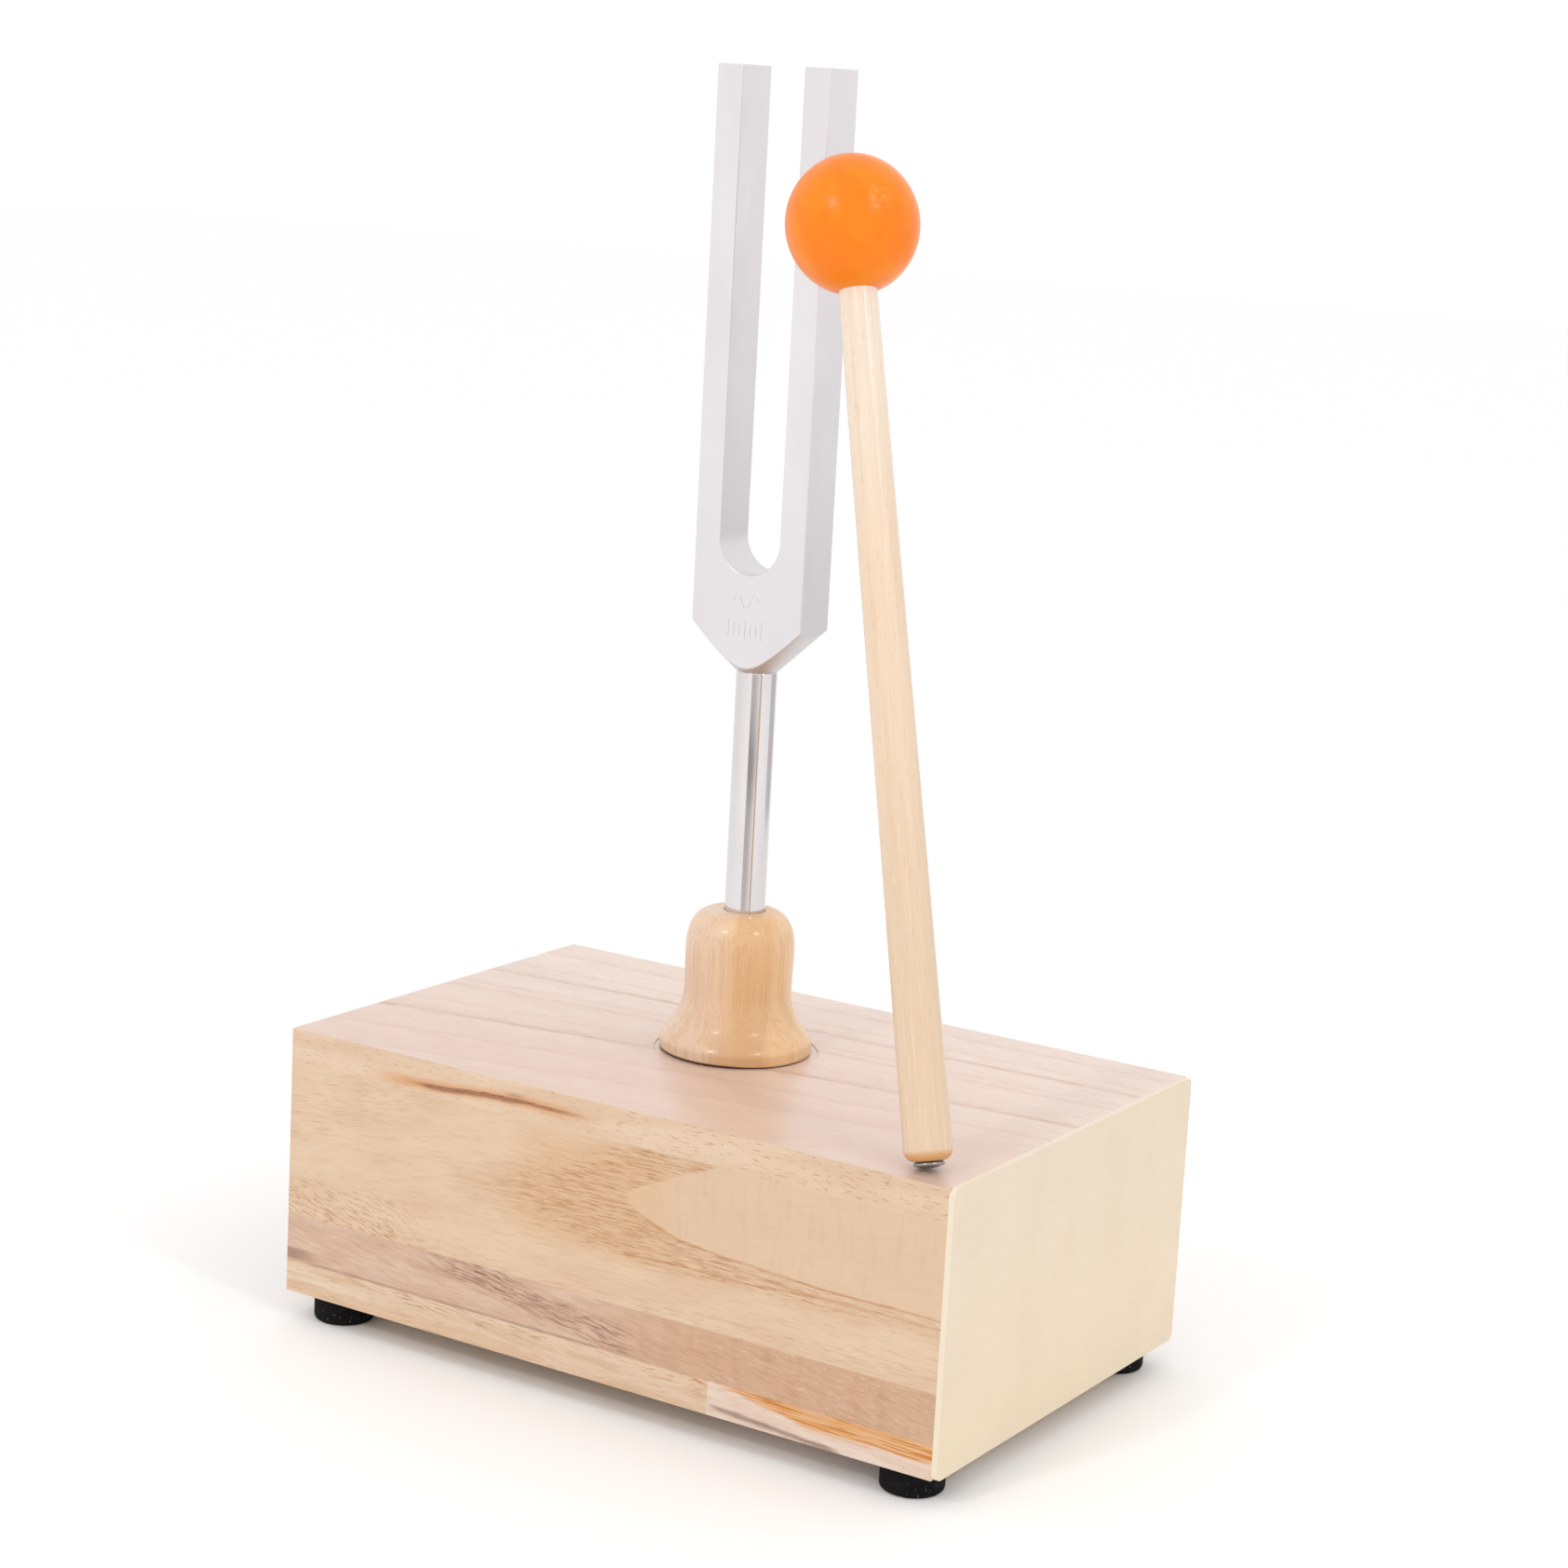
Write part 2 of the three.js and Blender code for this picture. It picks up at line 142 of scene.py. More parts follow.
class Wire:
    """A number, vector or colour inside a node tree. Arithmetic on it adds the nodes."""

    def __init__(self, tree, socket):
        self.tree, self.socket = tree, socket

    def _join(self, operation, *values):
        node = self.tree.nodes.new("ShaderNodeMath")
        node.operation = operation
        for place, value in zip(node.inputs, values):
            plug(self.tree, value, place)
        return Wire(self.tree, node.outputs[0])

    def __add__(self, other):
        return self._join("ADD", self, other)

    def __sub__(self, other):
        return self._join("SUBTRACT", self, other)

    def __rsub__(self, other):
        return self._join("SUBTRACT", other, self)

    def __mul__(self, other):
        return self._join("MULTIPLY", self, other)

    def __truediv__(self, other):
        return self._join("DIVIDE", self, other)

    def __neg__(self):
        return self * -1

    def __abs__(self):
        return self._join("ABSOLUTE", self)

    __radd__, __rmul__ = __add__, __mul__

    def least(self, other):
        return self._join("MINIMUM", self, other)

    def most(self, other):
        return self._join("MAXIMUM", self, other)

    def root(self):
        return self._join("SQRT", self)

    def rise(self, low, high):
        """0 below low, 1 above high, smooth in between."""
        node = self.tree.nodes.new("ShaderNodeMapRange")
        node.interpolation_type = "SMOOTHSTEP"
        for place, value in zip(node.inputs, (self, low, high)):
            plug(self.tree, value, place)
        return Wire(self.tree, node.outputs[0])

    def fall(self, low, high):
        """1 below low, 0 above high, smooth in between."""
        return 1 - self.rise(low, high)

    def hump(self, centre, reach):
        """1 at centre, 0 at reach away from it and beyond."""
        return abs(self - centre).fall(0, reach)

    def band(self, low, high, soft):
        """1 between low and high, with soft edges outside them."""
        return self.rise(low - soft, low) * self.fall(high, high + soft)

    def curve(self, *stops):
        """A smooth curve through (place, value) stops, with places from 0 to 1."""
        node = self.tree.nodes.new("ShaderNodeValToRGB")
        node.color_ramp.interpolation = "EASE"
        steps = node.color_ramp.elements
        while len(steps) < len(stops):
            steps.new(0.5)
        for step, (place, value) in zip(steps, sorted(stops)):
            step.position = place
            step.color = (value, value, value, 1)
        plug(self.tree, self, node.inputs[0])
        return Wire(self.tree, node.outputs[0])


def plug(tree, value, place):
    if isinstance(value, Wire):
        tree.links.new(value.socket, place)
    else:
        place.default_value = value


class Finish:
    """A material with its Principled shader, and the places on the piece in millimetres as x, y and z."""

    def __init__(self, name):
        self.material = bpy.data.materials.new(name)
        self.material.use_nodes = True
        self.tree = self.material.node_tree
        self.shader = self.tree.nodes["Principled BSDF"]
        place = self.tree.nodes.new("ShaderNodeTexCoord")
        split = self.tree.nodes.new("ShaderNodeSeparateXYZ")
        self.tree.links.new(place.outputs["Object"], split.inputs[0])
        self.x, self.y, self.z = (Wire(self.tree, out) * 1000 for out in split.outputs)

    def point(self, x, y, z):
        node = self.tree.nodes.new("ShaderNodeCombineXYZ")
        for place, value in zip(node.inputs, (x, y, z)):
            plug(self.tree, value, place)
        return Wire(self.tree, node.outputs[0])

    def noise(self, x, y, z, detail=2.0, roughness=0.5, distortion=0.0, offset=0.0):
        """Perlin noise, mostly between 0.3 and 0.7, one lump to each unit of x, y and z."""
        node = self.tree.nodes.new("ShaderNodeTexNoise")
        plug(self.tree, self.point(x + offset, y, z), node.inputs["Vector"])
        node.inputs["Scale"].default_value = 1
        node.inputs["Detail"].default_value = detail
        node.inputs["Roughness"].default_value = roughness
        node.inputs["Distortion"].default_value = distortion
        return Wire(self.tree, node.outputs[0])

    def mix(self, under, over, share):
        """The colour under, covered by the colour over to that share."""
        node = self.tree.nodes.new("ShaderNodeMix")
        node.data_type = "RGBA"
        plug(self.tree, share, node.inputs[0])
        plug(self.tree, under, node.inputs[6])
        plug(self.tree, over, node.inputs[7])
        return Wire(self.tree, node.outputs[2])

    def wire(self, **inputs):
        """Connects each value to the shader's input of that name, with _ for a space."""
        for name, value in inputs.items():
            plug(self.tree, value, self.shader.inputs[name.replace("_", " ")])

    def bump(self, height):
        """Relief from a height in millimetres."""
        node = self.tree.nodes.new("ShaderNodeBump")
        node.inputs["Distance"].default_value = MM
        plug(self.tree, height, node.inputs["Height"])
        self.tree.links.new(node.outputs[0], self.shader.inputs["Normal"])


# ---------------------------------------------------------------- wood

PORE = seen(178, 122, 80)


def fibres(wood, along, across, depth, length=5.0, width=0.5, low=0.54, high=0.68, offset=0.0):
    """Short dark strokes that lie along the grain, as cut pores do."""
    field = wood.noise(along / length, across / width, depth / width, roughness=0.6, offset=offset)
    return field.rise(low, high)


def wood_surface(wood, colour, pores, grain, roughness=0.44):
    """Colour and polish, with the pores rougher and sunk in."""
    wood.wire(Base_Color=colour, Roughness=roughness + pores * 0.12 + (grain - 0.5) * 0.1)
    wood.bump(pores * -0.035 + (grain - 0.5) * 0.02)


def main_stave_wood():
    """Flat-sawn board whose rings show as nested arches, open to the right, with a plain middle."""
    wood = Finish("main_stave_wood")
    u, v, w = wood.x + BOX_LENGTH / 2, BOX_TOP - wood.z, wood.y + BOX_WIDTH / 2
    warp = wood.noise(u / 26, v / 7, w / 7, detail=3) - 0.5
    reach = v - (16 - (u - 82.5) * 0.13) + w * 0.35
    under, over = reach.most(0), (-reach).most(0)
    arch = u - under * under / 4.3 - over * over * 1.894 / (over * 0.543 + 1) + warp * 9
    slant = v + u * 0.14 - u * u * 0.0012 + u * u * u * 0.0000032
    clouds = wood.noise(u / 22, v / 6, w / 6, detail=3, offset=3.1)
    grain = wood.noise(u / 9, slant / 0.8, w / 0.8, detail=3, roughness=0.6, offset=7.7)

    ring = arch.rise(36, 62) * arch.fall(80, 82.5) * (1 - v.rise(21, 24) * u.rise(92, 112) * 0.55)
    inside = arch.rise(81, 84)
    old_ring = arch.rise(-52, -34) * arch.fall(-12, 2)
    below = v.band(24.0, 27.5, 1.4) * u.rise(58, 78) * u.fall(118, 138)
    thin = fibres(wood, u, slant, w, length=5.0, width=0.32, low=0.52, high=0.61)
    dark = fibres(wood, u, slant, w, length=4.0, width=0.4, low=0.58, high=0.645, offset=13.0)
    long = fibres(wood, u, slant, w, length=9.0, width=0.3, low=0.5, high=0.58, offset=23.0)
    strokes = (thin * 0.55 + dark * 0.55 + long * ring * 0.5).least(1)
    corner = v.rise(26.5, 31) * u.fall(24, 42)
    falling = v - u * 0.26
    steep = fibres(wood, u, falling, w, length=3.0, width=0.32, low=0.5, high=0.62, offset=31.0)
    strokes = strokes * (1 - corner) + steep * corner
    amount = (0.2 + ring * 0.8 + old_ring * 0.3 + corner * 0.42 + below * 0.4).least(1) - inside * 0.12
    pores = strokes * amount

    outside = (82.0 - arch) / (abs(reach) * 0.465 + 1)
    rims = outside.hump(0.15, 0.36) + outside.hump(1.45, 0.3) * u.rise(94, 108) * 0.8
    wavy = v + (u - 104) * 0.035 + warp * 2.4
    lower_line = wavy.hump(27.0, 0.42) * u.rise(74, 90) * u.fall(118, 132)
    lines = rims * v.rise(18.2, 20.4) + lower_line
    bars = wood.noise(u / 1.3, v / 9, w / 5, detail=2, offset=27.0)
    warm = u.band(60, 85, 9) * v.band(10, 27, 4)

    colour = wood.mix(seen(226, 194, 163), seen(231, 202, 172), clouds.rise(0.35, 0.65))
    colour = wood.mix(colour, seen(226, 194, 163), inside * 0.8)
    colour = wood.mix(colour, seen(223, 185, 147), ring * 0.55)
    colour = wood.mix(colour, seen(224, 179, 134), warm * 0.4)
    colour = wood.mix(colour, seen(216, 178, 144), bars.rise(0.48, 0.7) * inside * 0.3)
    colour = wood.mix(colour, seen(212, 170, 132), grain.rise(0.5, 0.72) * (1 - inside * 0.6) * 0.4)
    colour = wood.mix(colour, seen(182, 118, 64), pores * 0.7)
    colour = wood.mix(colour, seen(190, 124, 60), lines * (0.45 + strokes * 0.45))
    wood_surface(wood, colour, pores, grain)
    return wood.material


def red_stave_wood():
    """Narrow reddish stave, with dark falling lines left of the middle and pale flecks on the right."""
    wood = Finish("red_stave_wood")
    u, v, w = wood.x + BOX_LENGTH / 2, BOX_TOP - wood.z, wood.y + BOX_WIDTH / 2
    slant = v - (u - 62) * 0.14 - (wood.noise(u / 18, v / 5, w / 5) - 0.5) * 3
    clouds = wood.noise(u / 16, v / 3.5, w / 3.5, detail=3, offset=5.0)
    bars = wood.noise(u / 4.5, v / 22, w / 12, detail=3, offset=15.0)
    grain = wood.noise(u / 8, slant / 0.6, w / 0.6, detail=3, roughness=0.6, offset=1.3)
    dark = u.rise(30, 44) * u.fall(74, 90) * slant.band(40.4, 43.4, 2.0)
    thin = fibres(wood, u, slant, w, length=5.0, width=0.33, low=0.5, high=0.565)
    deep = fibres(wood, u, slant, w, length=6.5, width=0.46, low=0.555, high=0.61, offset=7.0)
    strokes = (thin * 0.55 + deep * 0.65).least(1)
    corner = u.fall(2, 9) * v.band(45.2, 46.6, 0.7)
    glue_line = v.rise(46.8, 47.1) * u.fall(72, 100) * clouds.rise(0.35, 0.55)
    flecks = fibres(wood, u, slant, w, length=2.6, width=0.35, low=0.58, high=0.68, offset=9.0)
    flecks = flecks * u.rise(90, 112)
    pores = strokes * (0.2 + dark * 0.8)
    right = u.rise(70, 104)
    colour = wood.mix(seen(215, 178, 152), seen(225, 193, 168), clouds.rise(0.35, 0.66))
    colour = wood.mix(colour, seen(212, 169, 134), right * 0.75)
    colour = wood.mix(colour, seen(204, 155, 120), bars.rise(0.46, 0.62) * right * 0.35)
    colour = wood.mix(colour, seen(198, 148, 120), grain.rise(0.48, 0.7) * 0.38 + dark * 0.24)
    colour = wood.mix(colour, seen(120, 75, 58), (pores * 0.82 + corner * 0.5 + glue_line * 0.35).least(1))
    colour = wood.mix(colour, seen(238, 212, 190), flecks * 0.5)
    wood_surface(wood, colour, pores, grain)
    return wood.material


def strip_wood(name, light, deep):
    """Straight-grained strip of the bottom board."""
    wood = Finish(name)
    u, v, w = wood.x + BOX_LENGTH / 2, BOX_TOP - wood.z, wood.y + BOX_WIDTH / 2
    slant = v - u * 0.02 + (wood.noise(u / 30, v / 6, w / 6) - 0.5) * 4
    clouds = wood.noise(u / 20, slant / 2.4, w / 5, detail=3, offset=2.0)
    grain = wood.noise(u / 10, slant / 0.6, w / 0.8, detail=3, roughness=0.6, offset=4.4)
    strokes = fibres(wood, u, slant, w, length=4.6, width=0.34, low=0.52, high=0.64)
    colour = wood.mix(light, deep, clouds.rise(0.4, 0.66))
    colour = wood.mix(colour, deep, grain.rise(0.5, 0.7) * 0.5)
    return wood, u, v, w, strokes, grain, colour


def left_strip_wood():
    """Tan strip with a pale streak near its left end and fine dark threads."""
    wood, u, v, w, strokes, grain, colour = strip_wood(
        "left_strip_wood", seen(231, 203, 175), seen(221, 186, 153))
    drift = (wood.noise(u / 12, w / 9, u / 90, offset=11.0) - 0.5) * 2
    pale = (v + drift).band(49.6, 51.2, 0.8) * u.fall(26, 46)
    low = (v + drift).band(52.0, 53.4, 0.9) * u.fall(40, 80)
    speckle = strokes * v.fall(49, 50.5) * u.rise(80, 92)
    threads = strokes * v.band(47.6, 49.6, 0.6) * u.band(26, 58, 8)
    colour = wood.mix(colour, seen(238, 217, 192), pale * 0.4)
    colour = wood.mix(colour, seen(220, 172, 128), low * 0.25)
    colour = wood.mix(colour, seen(206, 136, 68), speckle * 0.7)
    colour = wood.mix(colour, PORE, strokes * 0.28 + threads * 0.4)
    wood_surface(wood, colour, strokes * 0.3, grain)
    return wood.material


def right_strip_wood():
    """Pinkish white strip with an orange streak under its upper edge and brown lines along its foot."""
    wood, u, v, w, strokes, grain, colour = strip_wood(
        "right_strip_wood", seen(238, 217, 200), seen(231, 204, 184))
    ragged = (wood.noise(u / 7, v / 1.2, w / 4, detail=3, offset=8.0) - 0.5) * 1.8
    foot = 47.7 + ((u - 103) * 0.15).most(0).least(3.1) + ragged
    ember = (v - foot).fall(-0.5, 0.7) * u.rise(101, 109) * v.rise(46.6, 47.3)
    lines = wood.noise(u / 12, (v - u * 0.03) / 0.42, w / 2, detail=2, roughness=0.6, offset=17.0)
    wander = (wood.noise(u / 6, v / 6, w / 3, offset=6.0) - 0.5) * 0.8
    brown = (v + wander - (u - 101) * 0.055).hump(52.2, 0.85) * u.band(104, 127, 4)
    colour = wood.mix(colour, seen(228, 158, 72), ember * (0.6 + lines.rise(0.4, 0.6) * 0.4))
    colour = wood.mix(colour, seen(194, 114, 34), ember * lines.rise(0.52, 0.6) * 0.75)
    colour = wood.mix(colour, seen(118, 82, 64), brown * (0.65 + strokes * 0.35))
    colour = wood.mix(colour, PORE, strokes * 0.16)
    wood_surface(wood, colour, strokes * 0.25, grain)
    return wood.material


def top_wood():
    """Top board: soft ring lines that fan out across the face, pores, painted light that is paler towards the
    back and right end, and a dark streak on the front edge.
    """
    wood = Finish("top_wood")
    u, v, back = wood.x + BOX_LENGTH / 2, BOX_TOP - wood.z, BOX_WIDTH / 2 - wood.y
    warp = wood.noise(u / 24, back / 9, v / 9, detail=3) - 0.5
    across = back + u * (0.005 + back * 0.003) + warp * 3.0 + v * 0.5
    rings = (across / 110).curve(
        (0.00, 0.1), (0.065, 0.15), (0.095, 0.5), (0.10, 0.1), (0.18, 0.12), (0.205, 0.45), (0.21, 0.1),
        (0.245, 0.2), (0.268, 1.0), (0.277, 0.15), (0.34, 0.1), (0.37, 0.45), (0.38, 0.1), (0.41, 0.55),
        (0.42, 0.15), (0.50, 0.12), (0.53, 0.3), (0.54, 0.1), (0.58, 0.3), (0.607, 1.0), (0.617, 0.1),
        (0.72, 0.15), (0.745, 0.5), (0.75, 0.1), (0.85, 0.2), (0.88, 0.4), (0.89, 0.1), (1.0, 0.1),
    )
    clouds = wood.noise(u / 26, back / 8, v / 6, detail=3, offset=2.2)
    grain = wood.noise(u / 7, across / 0.7, v / 0.7, detail=4, roughness=0.7, offset=5.5)
    strokes = fibres(wood, u, across, v, length=4.0, width=0.36, low=0.5, high=0.64)
    broken = 0.6 + clouds.rise(0.4, 0.6) * 0.4
    pores = strokes * (0.14 + rings * 0.7)
    # Painted light: the top face is paler towards the back and towards the right end
    painted_light = back.fall(18, 82)
    near = wood.mix(seen(230, 198, 178), seen(235, 206, 188), clouds.rise(0.35, 0.65))
    far = wood.mix(seen(240, 217, 202), seen(245, 223, 209), clouds.rise(0.35, 0.65))
    colour = wood.mix(near, far, (painted_light * 0.9 + u.rise(100, 146) * 0.25).least(1))
    colour = wood.mix(colour, seen(204, 150, 122), rings * broken * 0.62)
    colour = wood.mix(colour, seen(220, 181, 158), grain.rise(0.46, 0.66) * 0.45)
    colour = wood.mix(colour, seen(172, 116, 88), pores * 0.6)

    # A pale ring with a pinkish rim marks the shallow seat that the bell stands in
    seat_x, seat_y = wood.x - SEAT_X, wood.y - SEAT_Y
    past_seat = (seat_x * seat_x + seat_y * seat_y).root() - SEAT_RADIUS
    colour = wood.mix(colour, seen(241, 218, 200), past_seat.band(-0.9, -0.1, 0.2) * 0.6)
    colour = wood.mix(colour, seen(206, 158, 134), past_seat.hump(0.1, 0.3) * 0.5)

    edge = wood.y.fall(-46.42, -46.2)
    edge_cloud = wood.noise(u / 20, v / 3, u / 60, detail=3, offset=9.1)
    dashes = fibres(wood, u, v - u * 0.03, v * 0, length=2.5, width=0.33, low=0.58, high=0.67, offset=4.0)
    tone = wood.mix(seen(224, 190, 157), seen(231, 201, 171), edge_cloud.rise(0.35, 0.65))
    tone = wood.mix(tone, seen(178, 122, 78), dashes * (0.4 + u.rise(70, 90) * 0.25))
    middle = 3.45 + u.fall(28, 56) * 1.5 + (wood.noise(u / 5, v / 3, u / 50, offset=1.0) - 0.5) * 0.6
    off = abs(v - middle)
    halo = off.fall(0.2, 1.9) * u.rise(16, 30) * u.fall(60, 78)
    core = off.fall(0.16, 0.5) * u.rise(27, 36) * u.fall(62, 74)
    belly = abs(v - middle - 0.25).fall(0.25, 0.75) * u.rise(31, 38) * u.fall(50, 60)
    knot = abs(v - 2.6).fall(0.1, 0.9) * u.hump(54.5, 3.5)
    tone = wood.mix(tone, seen(214, 146, 76), halo * 0.75)
    heart = (core * 0.9 + belly * 0.75 + knot * 0.45).least(1)
    tone = wood.mix(tone, seen(134, 66, 22), heart * (0.7 + strokes * 0.3))
    colour = wood.mix(colour, tone, edge)
    wood_surface(wood, colour, pores, grain, roughness=0.36)
    wood.shader.inputs["Coat Weight"].default_value = 0.6
    wood.shader.inputs["Coat Roughness"].default_value = 0.28
    return wood.material


def plain_board_wood():
    """Back and bottom boards: straight grain with a few ring lines."""
    wood = Finish("plain_board_wood")
    u, v, w = wood.x + BOX_LENGTH / 2, BOX_TOP - wood.z, wood.y + BOX_WIDTH / 2
    warp = wood.noise(u / 28, v / 9, w / 9, detail=3) - 0.5
    across = v + w * 0.83 + u * 0.05 + warp * 7
    rings = wood.noise(0.5, across / 3.4, 0.5, detail=3, roughness=0.7, offset=0.3).rise(0.48, 0.72)
    clouds = wood.noise(u / 22, v / 7, w / 7, detail=3, offset=3.3)
    grain = wood.noise(u / 10, across / 0.8, w / 0.8, detail=3, roughness=0.6, offset=6.5)
    strokes = fibres(wood, u, across, w)
    pores = strokes * (0.2 + rings * 0.6)
    colour = wood.mix(seen(230, 199, 165), seen(237, 210, 180), clouds.rise(0.35, 0.65))
    colour = wood.mix(colour, seen(218, 176, 134), rings * 0.45 + grain.rise(0.5, 0.7) * 0.3)
    colour = wood.mix(colour, seen(184, 128, 86), pores * 0.6)
    wood_surface(wood, colour, pores, grain)
    return wood.material


def panel_finish():
    """Smooth cream veneer with a satin lacquer and hardly any figure."""
    panel = Finish("cream_panel")
    x, y, z = panel.x, panel.y, panel.z
    figure = panel.noise(x / 3, y / 11, z / 16, detail=3, roughness=0.5)
    fine = panel.noise(x / 0.5, (y - z * 0.3) / 5, (z + y * 0.3) / 0.6, detail=3, roughness=0.6, offset=3.0)
    specks = panel.noise(x / 0.5, y / 0.45, z / 0.9, detail=1, offset=8.0).rise(0.74, 0.8)
    low = z.fall(8, 58)
    colour = panel.mix(seen(237, 219, 194), seen(241, 222, 192), low)
    colour = panel.mix(colour, seen(233, 212, 182), figure.rise(0.4, 0.66) * 0.28)
    colour = panel.mix(colour, seen(246, 233, 212), fine.rise(0.5, 0.7) * 0.22)
    colour = panel.mix(colour, seen(212, 186, 150), specks * 0.3)
    # Painted highlight: the panel's narrow edges are lighter than its face
    edge = x.fall(74.85, 74.99)
    colour = panel.mix(colour, seen(244, 232, 210), edge * 0.7)
    panel.wire(Base_Color=colour, Roughness=0.42 + (figure - 0.5) * 0.16)
    panel.bump((fine - 0.5) * 0.012 + (figure - 0.5) * 0.02)
    return panel.material


def bell_wood():
    """Turned hardwood under lacquer, grain upright, with painted light on it: paler on the left, with a broad
    honey-coloured stripe of painted reflection.
    """
    wood = Finish("bell_wood")
    x, y, z = wood.x, wood.y, wood.z
    sway = (wood.noise(x / 9, y / 9, z / 26, detail=2) - 0.5) * 4
    side = x * 0.85 + y * 0.53 + sway
    fine = wood.noise((x + sway * 0.3) / 0.42, y / 0.42, z / 30, detail=3, roughness=0.65, offset=2.0)
    streak = wood.noise((x + sway) / 2.0, y / 2.0, z / 60, detail=3, roughness=0.6, offset=6.0)
    turned_rings = wood.noise(x / 40, y / 40, z / 0.22, detail=2, offset=1.0)
    flecks = wood.noise(x / 0.3, y / 0.3, z / 1.3, detail=1, offset=4.0).rise(0.64, 0.74)
    # Painted light and reflection across the bell towards the image's right: paler where light falls on the
    # left, then a darker honey band of painted reflection near the middle
    warm = side.rise(-6, 1)
    painted_reflection_band = side.band(0.5, 5.5, 2.5)
    colour = wood.mix(seen(238, 205, 175), seen(244, 202, 153), warm)
    colour = wood.mix(colour, seen(226, 173, 118), painted_reflection_band * 0.5)
    # Painted shade low in the middle, and painted light low on the right
    low = z.fall(3, 13)
    colour = wood.mix(colour, seen(214, 162, 114), low * side.band(-3, 5, 4) * 0.55)
    colour = wood.mix(colour, seen(246, 201, 150), low * side.rise(5, 10) * 0.6)
    colour = wood.mix(colour, seen(222, 172, 122), streak.rise(0.44, 0.66) * 0.4)
    colour = wood.mix(colour, seen(210, 160, 110), fine.rise(0.5, 0.68) * 0.36)
    colour = wood.mix(colour, seen(180, 126, 78), flecks * 0.2)

    # Painted shadow: a dark line where the foot meets the board, thicker on the left
    painted_shadow_top = 0.34 + side.fall(-4, 9) * 0.4
    painted_gap_shadow = (z / painted_shadow_top).fall(0.55, 1.0)
    colour = wood.mix(colour, srgb(76, 44, 24), painted_gap_shadow * 0.94)
    wood.wire(Base_Color=colour, Roughness=0.36 + (fine - 0.5) * 0.1, Coat_Weight=0.5 - painted_gap_shadow * 0.5,
              Specular_IOR_Level=0.5 - painted_gap_shadow * 0.4)
    wood.shader.inputs["Coat Roughness"].default_value = 0.2
    wood.bump((turned_rings - 0.5) * 0.012 + (fine - 0.5) * 0.012)
    return wood.material


def handle_wood():
    """Pale birch dowel, streaked lengthwise, with the rounded foot painted a warm orange brown as shade and
    warm reflection.
    """
    wood = Finish("handle_wood")
    x, y, z = wood.x, wood.y, wood.z
    streak = wood.noise(x / 1.1, y / 1.1, z / 60, detail=3, roughness=0.6)
    fine = wood.noise(x / 0.3, y / 0.3, z / 14, detail=3, roughness=0.65, offset=3.0)
    flecks = wood.noise(x / 0.25, y / 0.25, z / 2.2, detail=1, offset=7.0).rise(0.63, 0.72)
    # Painted shade and warm reflection on the rounded foot
    foot = z.fall(1.7, 3.0)
    colour = wood.mix(seen(231, 202, 170), seen(240, 212, 183), z.rise(25, 95))
    colour = wood.mix(colour, seen(247, 230, 211), z.rise(95, 160))
    colour = wood.mix(colour, seen(228, 192, 156), streak.rise(0.44, 0.66) * 0.34)
    colour = wood.mix(colour, seen(250, 234, 216), fine.rise(0.5, 0.68) * 0.3)
    colour = wood.mix(colour, seen(218, 178, 130), flecks * 0.35)
    colour = wood.mix(colour, seen(221, 158, 84), foot * 0.8)
    wood.wire(Base_Color=colour, Roughness=0.36 + (fine - 0.5) * 0.16)
    wood.shader.inputs["Coat Weight"].default_value = 0.35
    wood.shader.inputs["Coat Roughness"].default_value = 0.2
    wood.bump((fine - 0.5) * 0.02 - flecks * 0.015)
    return wood.material


# ---------------------------------------------------------------- metal, rubber and plastic


def aluminium():
    """Satin anodised aluminium, drawn along the tines."""
    metal = Finish("satin_aluminium")
    x, y, z = metal.x, metal.y, metal.z
    drawn = metal.noise(x / 0.18, y / 0.18, z / 9, detail=3, roughness=0.6)
    blast = metal.noise(x / 0.12, y / 0.12, z / 0.12, detail=2, offset=3.0)
    clouds = metal.noise(x / 14, y / 14, z / 30, detail=3, offset=5.0)
    colour = metal.mix(srgb(232, 228, 230), srgb(227, 223, 225), clouds.rise(0.35, 0.65))
    # Painted shade: darker towards the yoke, and darker still on the cone, which faces down, and along its
    # edge
    colour = metal.mix(colour, srgb(214, 210, 212), z.fall(12, 52) * 0.4)
    past_cone = (x * x + y * y).root() - z * CONE_SLOPE - NECK_RADIUS
    colour = metal.mix(colour, srgb(196, 190, 188), past_cone.hump(0, 0.4) * 0.6)
    metal.shader.inputs["Metallic"].default_value = 1
    metal.wire(Base_Color=colour, Roughness=0.36 + (drawn - 0.5) * 0.1 + (clouds - 0.5) * 0.04)
    metal.bump((drawn - 0.5) * 0.004 + (blast - 0.5) * 0.003)
    return metal.material


def polished_steel(name, shine, bright=230):
    """Turned and polished steel, with faint rings round it."""
    metal = Finish(name)
    x, y, z = metal.x, metal.y, metal.z
    rings = metal.noise(x / 60, y / 60, z / 0.16, detail=2)
    smudge = metal.noise(x / 7, y / 7, z / 40, detail=2, offset=4.0)
    light, dull = srgb(bright, bright - 4, bright - 4), srgb(bright - 6, bright - 11, bright - 12)
    colour = metal.mix(light, dull, smudge.rise(0.35, 0.65))
    metal.shader.inputs["Metallic"].default_value = 1
    metal.wire(Base_Color=colour, Roughness=shine + (smudge - 0.5) * 0.03 + (rings - 0.5) * 0.04)
    metal.bump((rings - 0.5) * 0.001)
    return metal.material


